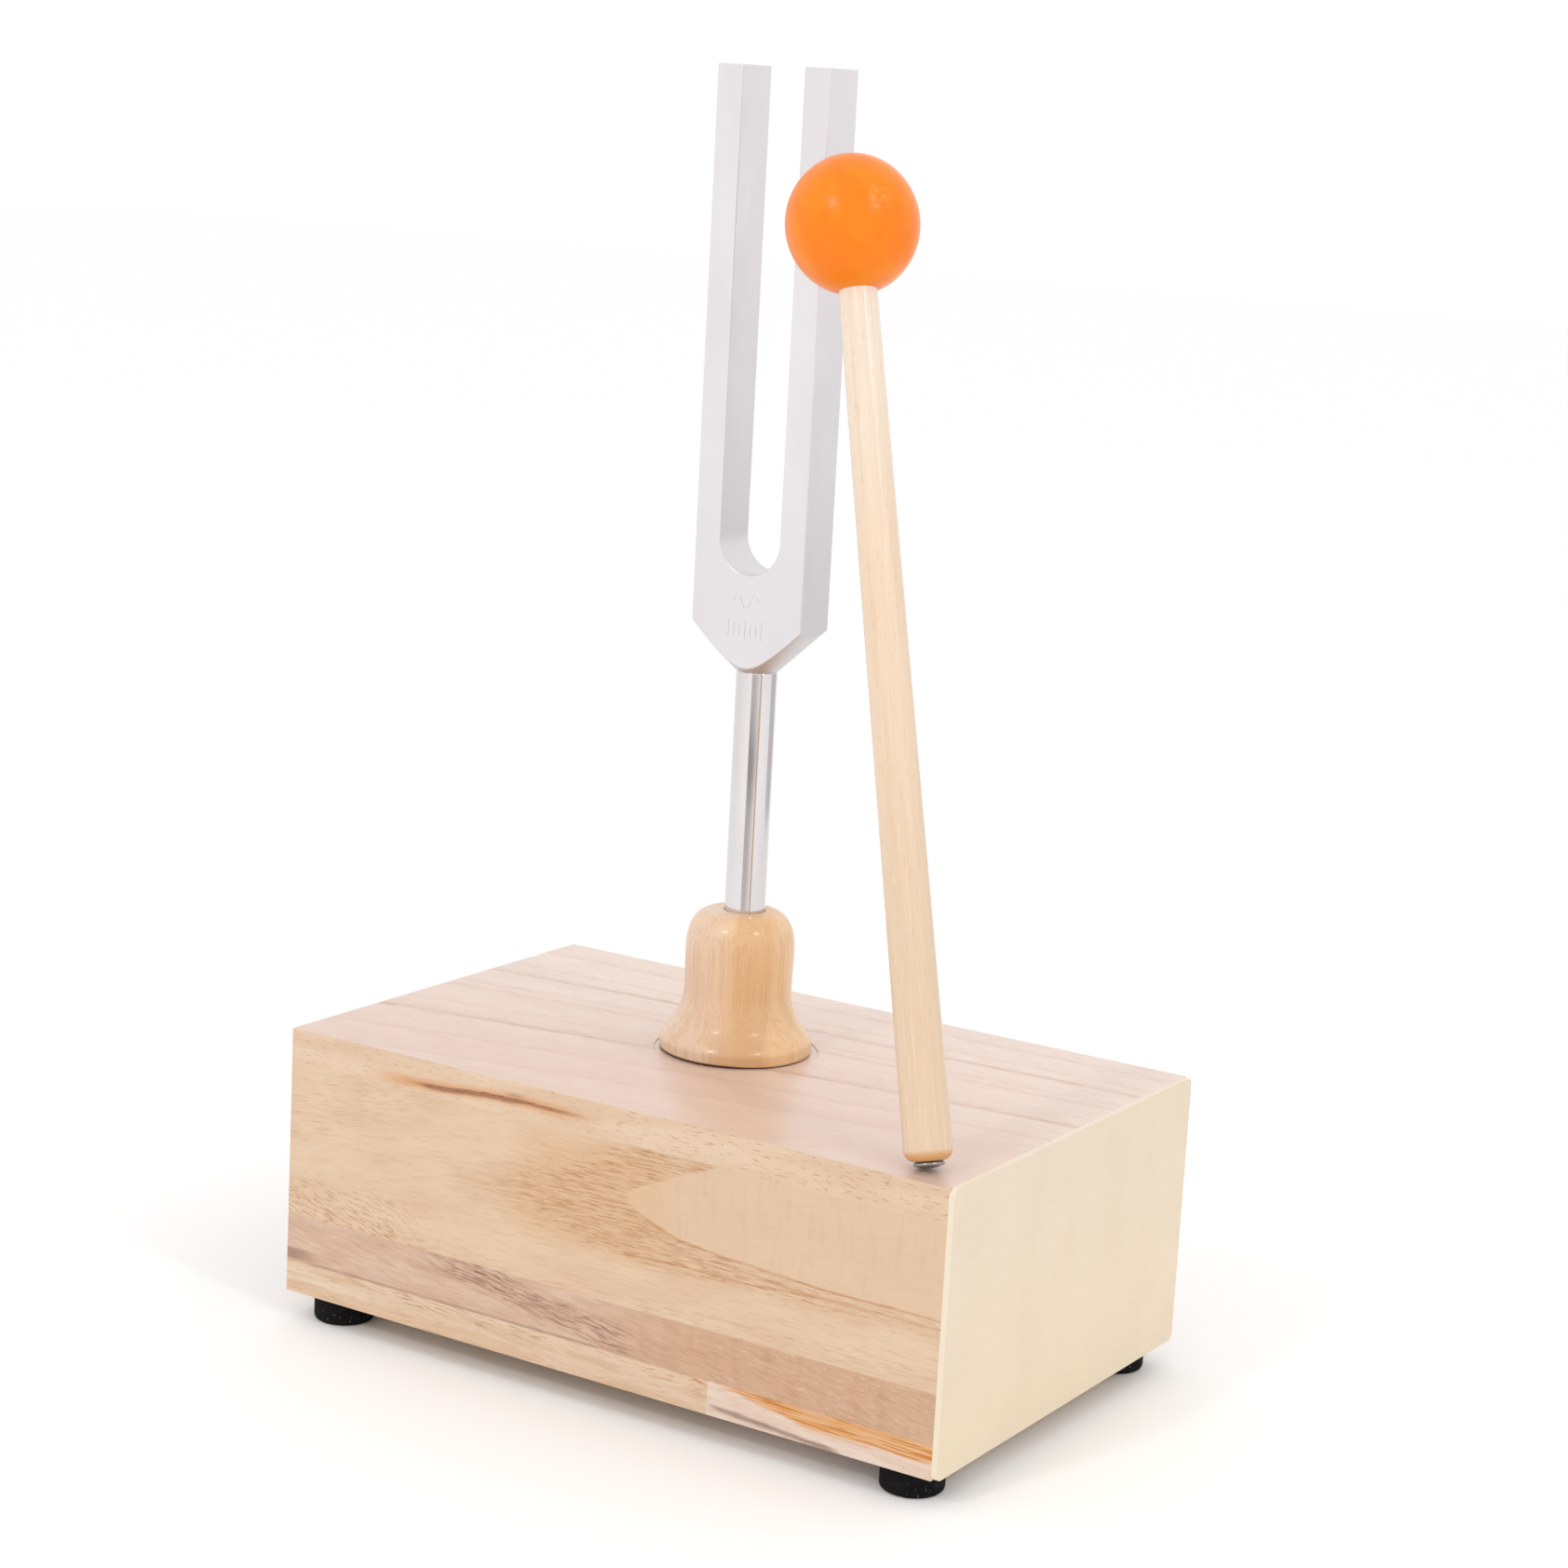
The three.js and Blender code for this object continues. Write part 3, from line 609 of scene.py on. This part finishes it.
def rubber():
    """Matt black rubber, dusty, with a few pale scuffs near the ground."""
    soft = Finish("foot_rubber")
    x, y, z = soft.x, soft.y, soft.z
    pits = soft.noise(x / 0.35, y / 0.35, z / 0.35, detail=3, roughness=0.65)
    dust = soft.noise(x / 2.5, y / 2.5, z / 1.6, detail=4, roughness=0.65, offset=3.0)
    scuff = soft.noise(x / 0.55, y / 0.55, z / 1.0, detail=2, offset=21.0).rise(0.68, 0.72) * z.fall(1.6, 3.4)
    colour = soft.mix(srgb(14, 13, 14), srgb(27, 25, 25), dust.rise(0.45, 0.7))
    colour = soft.mix(colour, srgb(42, 39, 38), pits.rise(0.6, 0.75) * 0.4)
    colour = soft.mix(colour, srgb(170, 166, 160), scuff * 0.55)
    soft.wire(Base_Color=colour, Roughness=0.82 + (dust - 0.5) * 0.2)
    soft.shader.inputs["Specular IOR Level"].default_value = 0.14
    soft.bump((pits - 0.5) * 0.07)
    return soft.material


def orange_plastic():
    """Satin moulded rubber-like plastic, with the faint round trace of its gate and a painted highlight over
    it.
    """
    plastic = Finish("orange_plastic")
    x, y, z = plastic.x, plastic.y, plastic.z
    skin = plastic.noise(x / 0.5, y / 0.5, z / 0.5, detail=3, roughness=0.6)
    flow = plastic.noise(x / 6, y / 6, z / 9, detail=3, offset=4.0, distortion=0.6)
    # One round mark holds both the gate's trace and a painted highlight of the right lamp
    mark_x, mark_y, mark_z = x - GATE_AND_HIGHLIGHT[0], y - GATE_AND_HIGHLIGHT[1], z - GATE_AND_HIGHLIGHT[2]
    from_mark_middle = (mark_x * mark_x + mark_y * mark_y + mark_z * mark_z).root()
    crazed = plastic.noise(x / 0.7, y / 0.7, z / 1.1, detail=2, offset=9.0).rise(0.46, 0.58)
    gate_mark_and_highlight = from_mark_middle.fall(1.9, 2.7) * crazed
    colour = plastic.mix(seen(255, 140, 4), seen(254, 130, 0), flow.rise(0.35, 0.65))
    colour = plastic.mix(colour, seen(255, 172, 84), gate_mark_and_highlight * 0.4)
    plastic.wire(Base_Color=colour, Roughness=0.3 + (flow - 0.5) * 0.1 + (skin - 0.5) * 0.06)
    plastic.shader.inputs["Specular IOR Level"].default_value = 0.3
    plastic.shader.inputs["Sheen Weight"].default_value = 0.22
    plastic.shader.inputs["Sheen Roughness"].default_value = 0.25
    plastic.shader.inputs["Sheen Tint"].default_value = (1, 0.72, 0.66, 1)
    plastic.bump((skin - 0.5) * 0.006 + (flow - 0.5) * 0.02 + gate_mark_and_highlight * 0.04)
    return plastic.material


# ---------------------------------------------------------------- mesh helpers


def mesh_piece(name, points, faces, material, sharp=32.0):
    """A piece from points in millimetres. Edges steeper than sharp degrees stay crisp."""
    mesh = bpy.data.meshes.new(name)
    mesh.from_pydata([Vector(p) * MM for p in points], [], faces)
    mesh.validate()
    piece = bpy.data.objects.new(name, mesh)
    bpy.context.scene.collection.objects.link(piece)
    piece.data.materials.append(material)
    shade(piece, sharp)
    return piece


def shade(piece, sharp=32.0):
    """Smooth shading. Edges steeper than sharp degrees stay crisp."""
    piece.data.shade_smooth()
    piece.data.set_sharp_from_angle(angle=math.radians(sharp))


def turned(name, profile, material, steps=96, sharp=32.0):
    """A closed turned piece from (radius, height) pairs, from the axis at the bottom, outwards and up."""
    points, faces, rings = [], [], []
    for radius, height in profile:
        start = len(points)
        if radius < 1e-6:
            points.append((0, 0, height))
            rings.append([start] * steps)
        else:
            for i in range(steps):
                a = 2 * math.pi * i / steps
                points.append((radius * math.cos(a), radius * math.sin(a), height))
            rings.append(list(range(start, start + steps)))
    for low, high in zip(rings, rings[1:]):
        for i in range(steps):
            j = (i + 1) % steps
            corners = [low[i], low[j], high[j], high[i]]
            face = list(dict.fromkeys(corners))
            if len(face) > 2:
                faces.append(face)
    return mesh_piece(name, points, faces, material, sharp)


def bezier(a, b, c, d, steps):
    """Points from a to d on a Bezier curve, without a itself."""
    curve = []
    for i in range(1, steps + 1):
        t = i / steps
        s = 1 - t
        pulls = (s ** 3, 3 * s * s * t, 3 * s * t * t, t ** 3)
        curve.append(tuple(sum(pull * at for pull, at in zip(pulls, ats)) for ats in zip(a, b, c, d)))
    return curve


def arc(centre, radius, start, end, steps):
    """Points on a circle from start to end degrees, both included."""
    return [
        (centre[0] + radius * math.cos(a), centre[1] + radius * math.sin(a))
        for a in (math.radians(start + (end - start) * i / steps) for i in range(steps + 1))
    ]


def rectangle(x, y, half_width, half_height):
    """The corners of a rectangle round that middle, anticlockwise."""
    return [(x - half_width, y - half_height), (x + half_width, y - half_height),
            (x + half_width, y + half_height), (x - half_width, y + half_height)]


def prism(name, outline, low, high, axis, material):
    """A flat outline, anticlockwise, drawn out along Y (axis 'y', outline in x and z) or Z."""
    count = len(outline)
    if axis == "y":
        points = [(x, low, z) for x, z in outline] + [(x, high, z) for x, z in outline]
    else:
        points = [(x, y, low) for x, y in outline] + [(x, y, high) for x, y in outline]
    sides = [(i, (i + 1) % count, count + (i + 1) % count, count + i) for i in range(count)]
    faces = [tuple(reversed(range(count))), tuple(range(count, 2 * count)), *sides]
    piece = mesh_piece(name, points, faces, material)
    tidy_normals(piece)
    return piece


def drill(radius, depth, material, steps):
    """A tool for a round hole up into the piece from its own level 0."""
    return turned("drill", [(0, -1), (radius, -1), (radius, depth), (0, depth)], material, steps=steps)


def tidy_normals(piece):
    """All faces point out."""
    work = bmesh.new()
    work.from_mesh(piece.data)
    bmesh.ops.recalc_face_normals(work, faces=work.faces)
    work.to_mesh(piece.data)
    work.free()


def settle(piece, sharp=32.0):
    """The piece's modifiers become part of its mesh."""
    graph = bpy.context.evaluated_depsgraph_get()
    mesh = bpy.data.meshes.new_from_object(piece.evaluated_get(graph))
    piece.modifiers.clear()
    piece.data = mesh
    shade(piece, sharp)


def carve(piece, tool, operation="DIFFERENCE"):
    """The piece loses the tool's shape, or with INTERSECT keeps only that. The tool is used up."""
    cut = piece.modifiers.new("cut", "BOOLEAN")
    cut.operation = operation
    cut.solver = "EXACT"
    cut.object = tool
    bpy.context.view_layer.update()
    settle(piece)
    bpy.data.objects.remove(tool)


def ease(piece, width, segments=2, angle=30):
    """Rounds every edge that turns by more than that angle."""
    bevel = piece.modifiers.new("eased_edges", "BEVEL")
    bevel.width = width * MM
    bevel.segments = segments
    bevel.limit_method = "ANGLE"
    bevel.angle_limit = math.radians(angle)
    bevel.harden_normals = True
    bevel.use_clamp_overlap = True


def flatten(piece):
    """Large flat faces shade flat right up to their rounded edges."""
    normals = piece.modifiers.new("flat_faces", "WEIGHTED_NORMAL")
    normals.mode = "FACE_AREA"
    normals.weight = 100
    normals.keep_sharp = True


def place(piece, x, y, z, rotation=None):
    piece.matrix_world = Matrix.Translation(Vector((x, y, z)) * MM) @ (rotation or Matrix.Identity(4))


def use(piece, body, replaced):
    """The piece is shown in place of that node and moves with its body."""
    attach(piece, body)
    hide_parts(replaced)


# ---------------------------------------------------------------- resonance box


def finish_board(name, material, edge):
    """The board keeps its own shape, with its material and with edges eased by that much."""
    board = nodes[name]
    board.data.materials.clear()
    board.data.materials.append(material)
    ease(board, edge)


plain_wood = plain_board_wood()
finish_board("top_board", top_wood(), 0.16)
finish_board("front_main_stave", main_stave_wood(), 0.06)
finish_board("front_lower_stave", red_stave_wood(), 0.06)
finish_board("back_board", plain_wood, 0.06)
finish_board("bottom_board", plain_wood, 0.12)
finish_board("bottom_strip_left", left_strip_wood(), 0.12)
finish_board("bottom_strip_right", right_strip_wood(), 0.12)
finish_board("end_panel", panel_finish(), 0.3)

# ---------------------------------------------------------------- feet and their screws

foot_rubber = rubber()
screw_steel = polished_steel("screw_steel", shine=0.24)


def add_foot(number, x, y):
    """A ring with a well for the screw's head."""
    hole, well, depth = 1.8, 2.9, 2.3
    rounding = arc((FOOT_RADIUS - 0.9, 0.9), 0.9, -90, 0, 6)
    profile = [
        (hole, depth), (well - 0.15, depth), (well, depth - 0.15), (well, 0.25), (well + 0.25, 0),
        *rounding, (FOOT_RADIUS, 3.2), (FOOT_RADIUS, FOOT_HEIGHT - 0.25), (FOOT_RADIUS - 0.25, FOOT_HEIGHT),
        (hole, FOOT_HEIGHT), (hole, depth),
    ]
    points, faces, steps = [], [], 72
    for radius, height in profile[:-1]:
        for i in range(steps):
            a = 2 * math.pi * i / steps
            points.append((x + radius * math.cos(a), y + radius * math.sin(a), height))
    count = len(profile) - 1
    for ring in range(count):
        low, high = ring * steps, ((ring + 1) % count) * steps
        faces += [(low + i, low + (i + 1) % steps, high + (i + 1) % steps, high + i) for i in range(steps)]
    foot = mesh_piece(f"rubber_foot_{number}", points, faces, foot_rubber)
    tidy_normals(foot)
    use(foot, "box", f"foot_{number}")


def cut_cross(screw, half_length, half_width, low, high, turn):
    """Two crossed slots for the driver, from low to high, turned by that many degrees."""
    for angle in (0, 90):
        slot = prism("slot", rectangle(0, 0, half_length, half_width), low, high, "z", screw_steel)
        slot.matrix_world = Matrix.Rotation(math.radians(angle + turn), 4, "Z")
        carve(screw, slot)


def add_foot_screw(number, x, y):
    head, shank, well, height = 2.5, 1.4, 2.3, 1.6
    core, pitch = shank - 0.22, 0.55
    bottom, tip = well - height, BOX_UNDERSIDE + 4.4
    crown = (1.1, bottom + 0.02)
    profile = [(0, bottom), crown]
    profile += bezier(crown, (1.9, bottom + 0.08), (2.4, bottom + 0.4), (head, bottom + 0.9), 6)
    profile += [(head, well - 0.1), (head - 0.1, well), (shank, well)]
    thread = well + 0.8
    while thread + 0.5 < tip - shank:
        profile += [(core, thread), (shank, thread + 0.12), (shank, thread + 0.2), (core, thread + 0.32)]
        thread += pitch
    profile += [(core, tip - shank), (0, tip)]
    screw = turned(f"foot_screw_head_{number}", profile, screw_steel, steps=40)
    cut_cross(screw, 1.35, 0.3, bottom - 1, bottom + 0.75, turn=20 * number)
    place(screw, x, y, 0)
    use(screw, "box", f"foot_screw_{number}")


for number, (x, y) in enumerate(FEET, start=1):
    add_foot(number, x, y)
    add_foot_screw(number, x, y)

# ---------------------------------------------------------------- bell and its screw


def add_bell():
    outline = [(0, 0), (14.4, 0), *bezier((14.4, 0), (14.75, 0), (14.93, 0.25), (14.95, 0.7), 6)]
    outline += [(14.98, 2.1), *bezier((14.98, 2.1), (14.98, 3.2), (12.75, 5.2), (12.2, 6.4), 18)]
    outline += bezier((12.2, 6.4), (11.4, 8.2), (10.55, 10), (10.55, 12.8), 14)
    outline += bezier((10.55, 12.8), (10.55, 15.6), (10.7, 17.9), (10.7, 20.7), 12)
    outline += bezier((10.7, 20.7), (10.7, 23.5), (9.95, 27.9), (5.9, BELL_HEIGHT), 18)
    outline += [(0, BELL_HEIGHT)]
    bell = turned("turned_bell", outline, bell_wood(), steps=128)
    floor, snug, above = BORE_FLOOR - BELL_BASE, STEM_RADIUS + 0.08, BELL_HEIGHT + 0.2
    hollow = [(0, floor), (snug, floor), (snug, BELL_HEIGHT - 0.06), (snug + 0.14, above), (0, above)]
    bore = turned("bore", hollow, bell.data.materials[0], steps=128)
    place(bore, FORK_X - BELL_X, FORK_Y - BELL_Y, 0)
    carve(bell, bore)
    carve(bell, drill(1.95, 6.4, bell.data.materials[0], steps=48))
    place(bell, BELL_X, BELL_Y, BELL_BASE)
    use(bell, "box", "bell")


def add_bell_screw():
    shank, core, pitch = 1.65, 1.3, 0.8
    profile = [(0, 0), (3.3, 0), (3.4, 0.12), (shank, 2.0), (shank, 3.4)]
    thread = 3.5
    while thread < 10.0:
        profile += [(core, thread), (shank, thread + 0.2), (shank, thread + 0.3), (core, thread + 0.5)]
        thread += pitch
    profile += [(1.2, thread), (0, 12.2)]
    screw = turned("bell_screw_head", profile, screw_steel, steps=48)
    cut_cross(screw, 1.7, 0.35, -1, 0.95, turn=30)
    place(screw, BELL_X, BELL_Y, BOX_TOP - BOARD)
    use(screw, "box", "bell_screw")


add_bell()
add_bell_screw()

# ---------------------------------------------------------------- stem and fork


def add_stem():
    bottom, top, rim, spigot = BORE_FLOOR + 0.15, FORK_BASE + SPIGOT_LENGTH, STEM_RADIUS, SPIGOT_RADIUS
    profile = [
        (0, bottom), (rim - 0.5, bottom), (rim, bottom + 0.5),
        (rim, FORK_BASE - 0.35), (rim - 0.12, FORK_BASE - 0.12), (rim - 0.3, FORK_BASE),
        (spigot, FORK_BASE), (spigot, top - 0.4), (spigot - 0.4, top), (0, top),
    ]
    stem = turned("steel_stem", profile, polished_steel("stem_steel", shine=0.09, bright=221), steps=128)
    flatten(stem)
    place(stem, FORK_X, FORK_Y, 0)
    use(stem, "stem", "stem")


def ribbon(middle, width):
    """An outline that follows a line of points. Its width is less than twice the radius of any bend."""
    left, right = [], []
    for i, here in enumerate(middle):
        before, after = middle[max(i - 1, 0)], middle[min(i + 1, len(middle) - 1)]
        way = Vector((after[0] - before[0], after[1] - before[1])).normalized()
        side = Vector((-way.y, way.x)) * width / 2
        left.append((here[0] + side.x, here[1] + side.y))
        right.append((here[0] - side.x, here[1] - side.y))
    return right + left[::-1]


def engrave(fork, outline, depth, metal):
    """A flat-bottomed cut in the front of the fork."""
    face = -FORK_DEPTH / 2
    carve(fork, prism("graver", outline, face - 0.5, face + depth, "y", metal))


def add_fork():
    half = FORK_WIDTH / 2
    slot = half - TINE
    outline = [(-half, 0), (half, 0), (half, FORK_HEIGHT), (slot, FORK_HEIGHT)]
    outline += arc((0, YOKE_HEIGHT + slot), slot, 0, -180, 48)
    outline += [(-slot, FORK_HEIGHT), (-half, FORK_HEIGHT)]
    metal = aluminium()
    fork = prism("tuning_fork", outline, -FORK_DEPTH / 2, FORK_DEPTH / 2, "y", metal)

    # The foot of the bar is turned to a cone, and only then are the edges eased
    wide, above = NECK_RADIUS + FORK_WIDTH * CONE_SLOPE, FORK_HEIGHT + 1
    cone = [(0, 0), (NECK_RADIUS, 0), (wide, FORK_WIDTH), (wide, above), (0, above)]
    carve(fork, turned("cone", cone, metal, steps=256), "INTERSECT")
    ease(fork, 0.22, segments=3, angle=28)
    bpy.context.view_layer.update()
    settle(fork)
    carve(fork, drill(SPIGOT_RADIUS + GAP, SPIGOT_LENGTH + GAP, metal, steps=64))

    # A wave line over a row of seven strokes
    line, depth = 0.34, 0.08
    middle, height, reach, turns, points = 13.6, 1.35, 2.9, 1.5, 60
    wave = [
        (-reach + 2 * reach * i / points, middle + height * math.sin(2 * turns * math.pi * i / points))
        for i in range(points + 1)
    ]
    engrave(fork, ribbon(wave, line), depth, metal)
    strokes, spacing, middle = 7, 1.25, 8.3
    for i in range(strokes):
        half_height = 1.8 if i % 3 == 0 else 1.1
        engrave(fork, rectangle((i - strokes // 2) * spacing, middle, line / 2, half_height), depth, metal)

    # The normals that the easing left don't fit the faces that were cut after it
    fork.data.attributes.remove(fork.data.attributes["custom_normal"])
    shade(fork)
    flatten(fork)
    place(fork, FORK_X, FORK_Y, FORK_BASE)
    use(fork, "fork_head", "fork")


add_stem()
add_fork()

# ---------------------------------------------------------------- mallet

LEAN_AXIS = Vector((-math.sin(MALLET_TOWARDS), math.cos(MALLET_TOWARDS), 0))
MALLET_TURN = Matrix.Rotation(MALLET_LEAN, 4, LEAN_AXIS)


def add_handle():
    neck = BALL_CENTRE - BALL_HALF_LENGTH
    top = neck + BALL_BORE - GAP
    round_centre = (HANDLE_FOOT - HANDLE_ROUNDING, HANDLE_START + HANDLE_ROUNDING)
    profile = [(0, HANDLE_START), *arc(round_centre, HANDLE_ROUNDING, -90, 0, 12)]
    last, rings = profile[-1], 24
    for i in range(1, rings + 1):
        t = i / rings
        profile.append((last[0] + (HANDLE_TOP - last[0]) * t, last[1] + (neck - last[1]) * t))
    profile += [(HANDLE_TOP, top - 0.4), (HANDLE_TOP - 0.4, top), (0, top)]
    handle = turned("mallet_stick", profile, handle_wood(), steps=72)
    carve(handle, drill(NAIL_RADIUS + GAP, NAIL_TIP + GAP, handle.data.materials[0], steps=32))
    place(handle, *MALLET_FOOT, MALLET_TURN)
    use(handle, "mallet", "mallet_handle")


def add_ball():
    rings = 72
    profile = [(0, -BALL_HALF_LENGTH)]
    for i in range(1, rings):
        a = math.radians(-90 + 180 * i / rings)
        profile.append((BALL_RADIUS * math.cos(a), BALL_HALF_LENGTH * math.sin(a)))
    profile.append((0, BALL_HALF_LENGTH))
    ball = turned("mallet_head", profile, orange_plastic(), steps=144, sharp=50)
    under, snug = -BALL_HALF_LENGTH, HANDLE_TOP + 0.06
    hollow = [(0, under - 1), (snug, under - 1), (snug, under + BALL_BORE), (0, under + BALL_BORE)]
    carve(ball, turned("bore", hollow, ball.data.materials[0], steps=72))
    ball.matrix_world = (Matrix.Translation(Vector(MALLET_FOOT) * MM) @ MALLET_TURN
                         @ Matrix.Translation((0, 0, BALL_CENTRE * MM)))
    use(ball, "mallet", "mallet_ball")


def add_tack():
    rim, rings, dome, edge = TACK_RADIUS, 16, 0.6, 0.08
    profile = [(rim * i / rings, edge - dome + dome * (i / rings) ** 2) for i in range(rings + 1)]
    profile += bezier((rim, edge), (rim + 0.06, 0.3), (rim, 0.55), (rim - 0.3, TACK_THICKNESS), 5)
    profile += [(NAIL_RADIUS, TACK_THICKNESS), (NAIL_RADIUS, NAIL_TIP - 2), (0, NAIL_TIP)]
    # The tack's steel is painted darker than bare steel, as painted reflection of the brown board under it
    tack = turned("mallet_tack_head", profile, polished_steel("tack_steel", shine=0.22, bright=160), steps=64)
    place(tack, *MALLET_FOOT, MALLET_TURN)
    use(tack, "mallet", "mallet_tack")


add_handle()
add_ball()
add_tack()

# ---------------------------------------------------------------- floor and reflection cards


def stage_sheet(name, corners, paint):
    """A flat sheet of the studio, in metres, that isn't part of the object."""
    mesh = bpy.data.meshes.new(name)
    mesh.from_pydata(corners, [], [(0, 1, 2, 3)])
    mesh.materials.append(paint.material)
    sheet = bpy.data.objects.new(name, mesh)
    bpy.context.scene.collection.objects.link(sheet)
    return sheet


def add_floor():
    reach = 4
    paint = Finish("floor_paint")
    paint.shader.inputs["Base Color"].default_value = (0.97, 0.97, 0.97, 1)
    paint.shader.inputs["Roughness"].default_value = 0.8
    stage_sheet("floor", [(x, y, 0) for x, y in rectangle(0, 0, reach, reach)], paint)


def add_card(name, azimuth, distance, left, right, height, paint):
    """An upright card, at that azimuth and distance, that only reflections see."""
    paint.shader.inputs["Roughness"].default_value = 1
    corners = [(left, 0, 0), (right, 0, 0), (right, 0, height), (left, 0, height)]
    card = stage_sheet(name, corners, paint)
    card.matrix_world = Matrix.Rotation(math.radians(azimuth), 4, "Z") @ Matrix.Translation((0, -distance, 0))
    card.visible_camera = False
    card.visible_diffuse = False
    card.visible_shadow = False


def add_stem_card():
    """It draws the dark stripe down the stem: darkest on its left, and fading out towards its top."""
    paint = Finish("stem_card_paint")
    ends = paint.z.rise(52, 70) * 0.33 + paint.z.fall(30, 56) * 0.33
    level = (0.29 + paint.x.rise(-60, 210) * 0.5 + ends).least(1)
    paint.wire(Base_Color=paint.mix((0.0, 0.0, 0.0, 1), (1.0, 0.97, 0.95, 1), level))
    add_card("stem_card", CAMERA_AZIMUTH, distance=0.33, left=-0.147, right=0.222, height=0.09, paint=paint)


def add_side_card():
    """It keeps the narrow faces of the fork a shade darker than its front."""
    paint = Finish("side_card_paint")
    level = 0.62 + paint.z.rise(40, 150) * 0.2
    paint.wire(Base_Color=paint.mix((0.0, 0.0, 0.0, 1), (1.0, 0.985, 0.99, 1), level))
    add_card("side_card", 180 - CAMERA_AZIMUTH, distance=0.5, left=-0.2, right=0.2, height=0.19, paint=paint)


add_floor()
add_stem_card()
add_side_card()
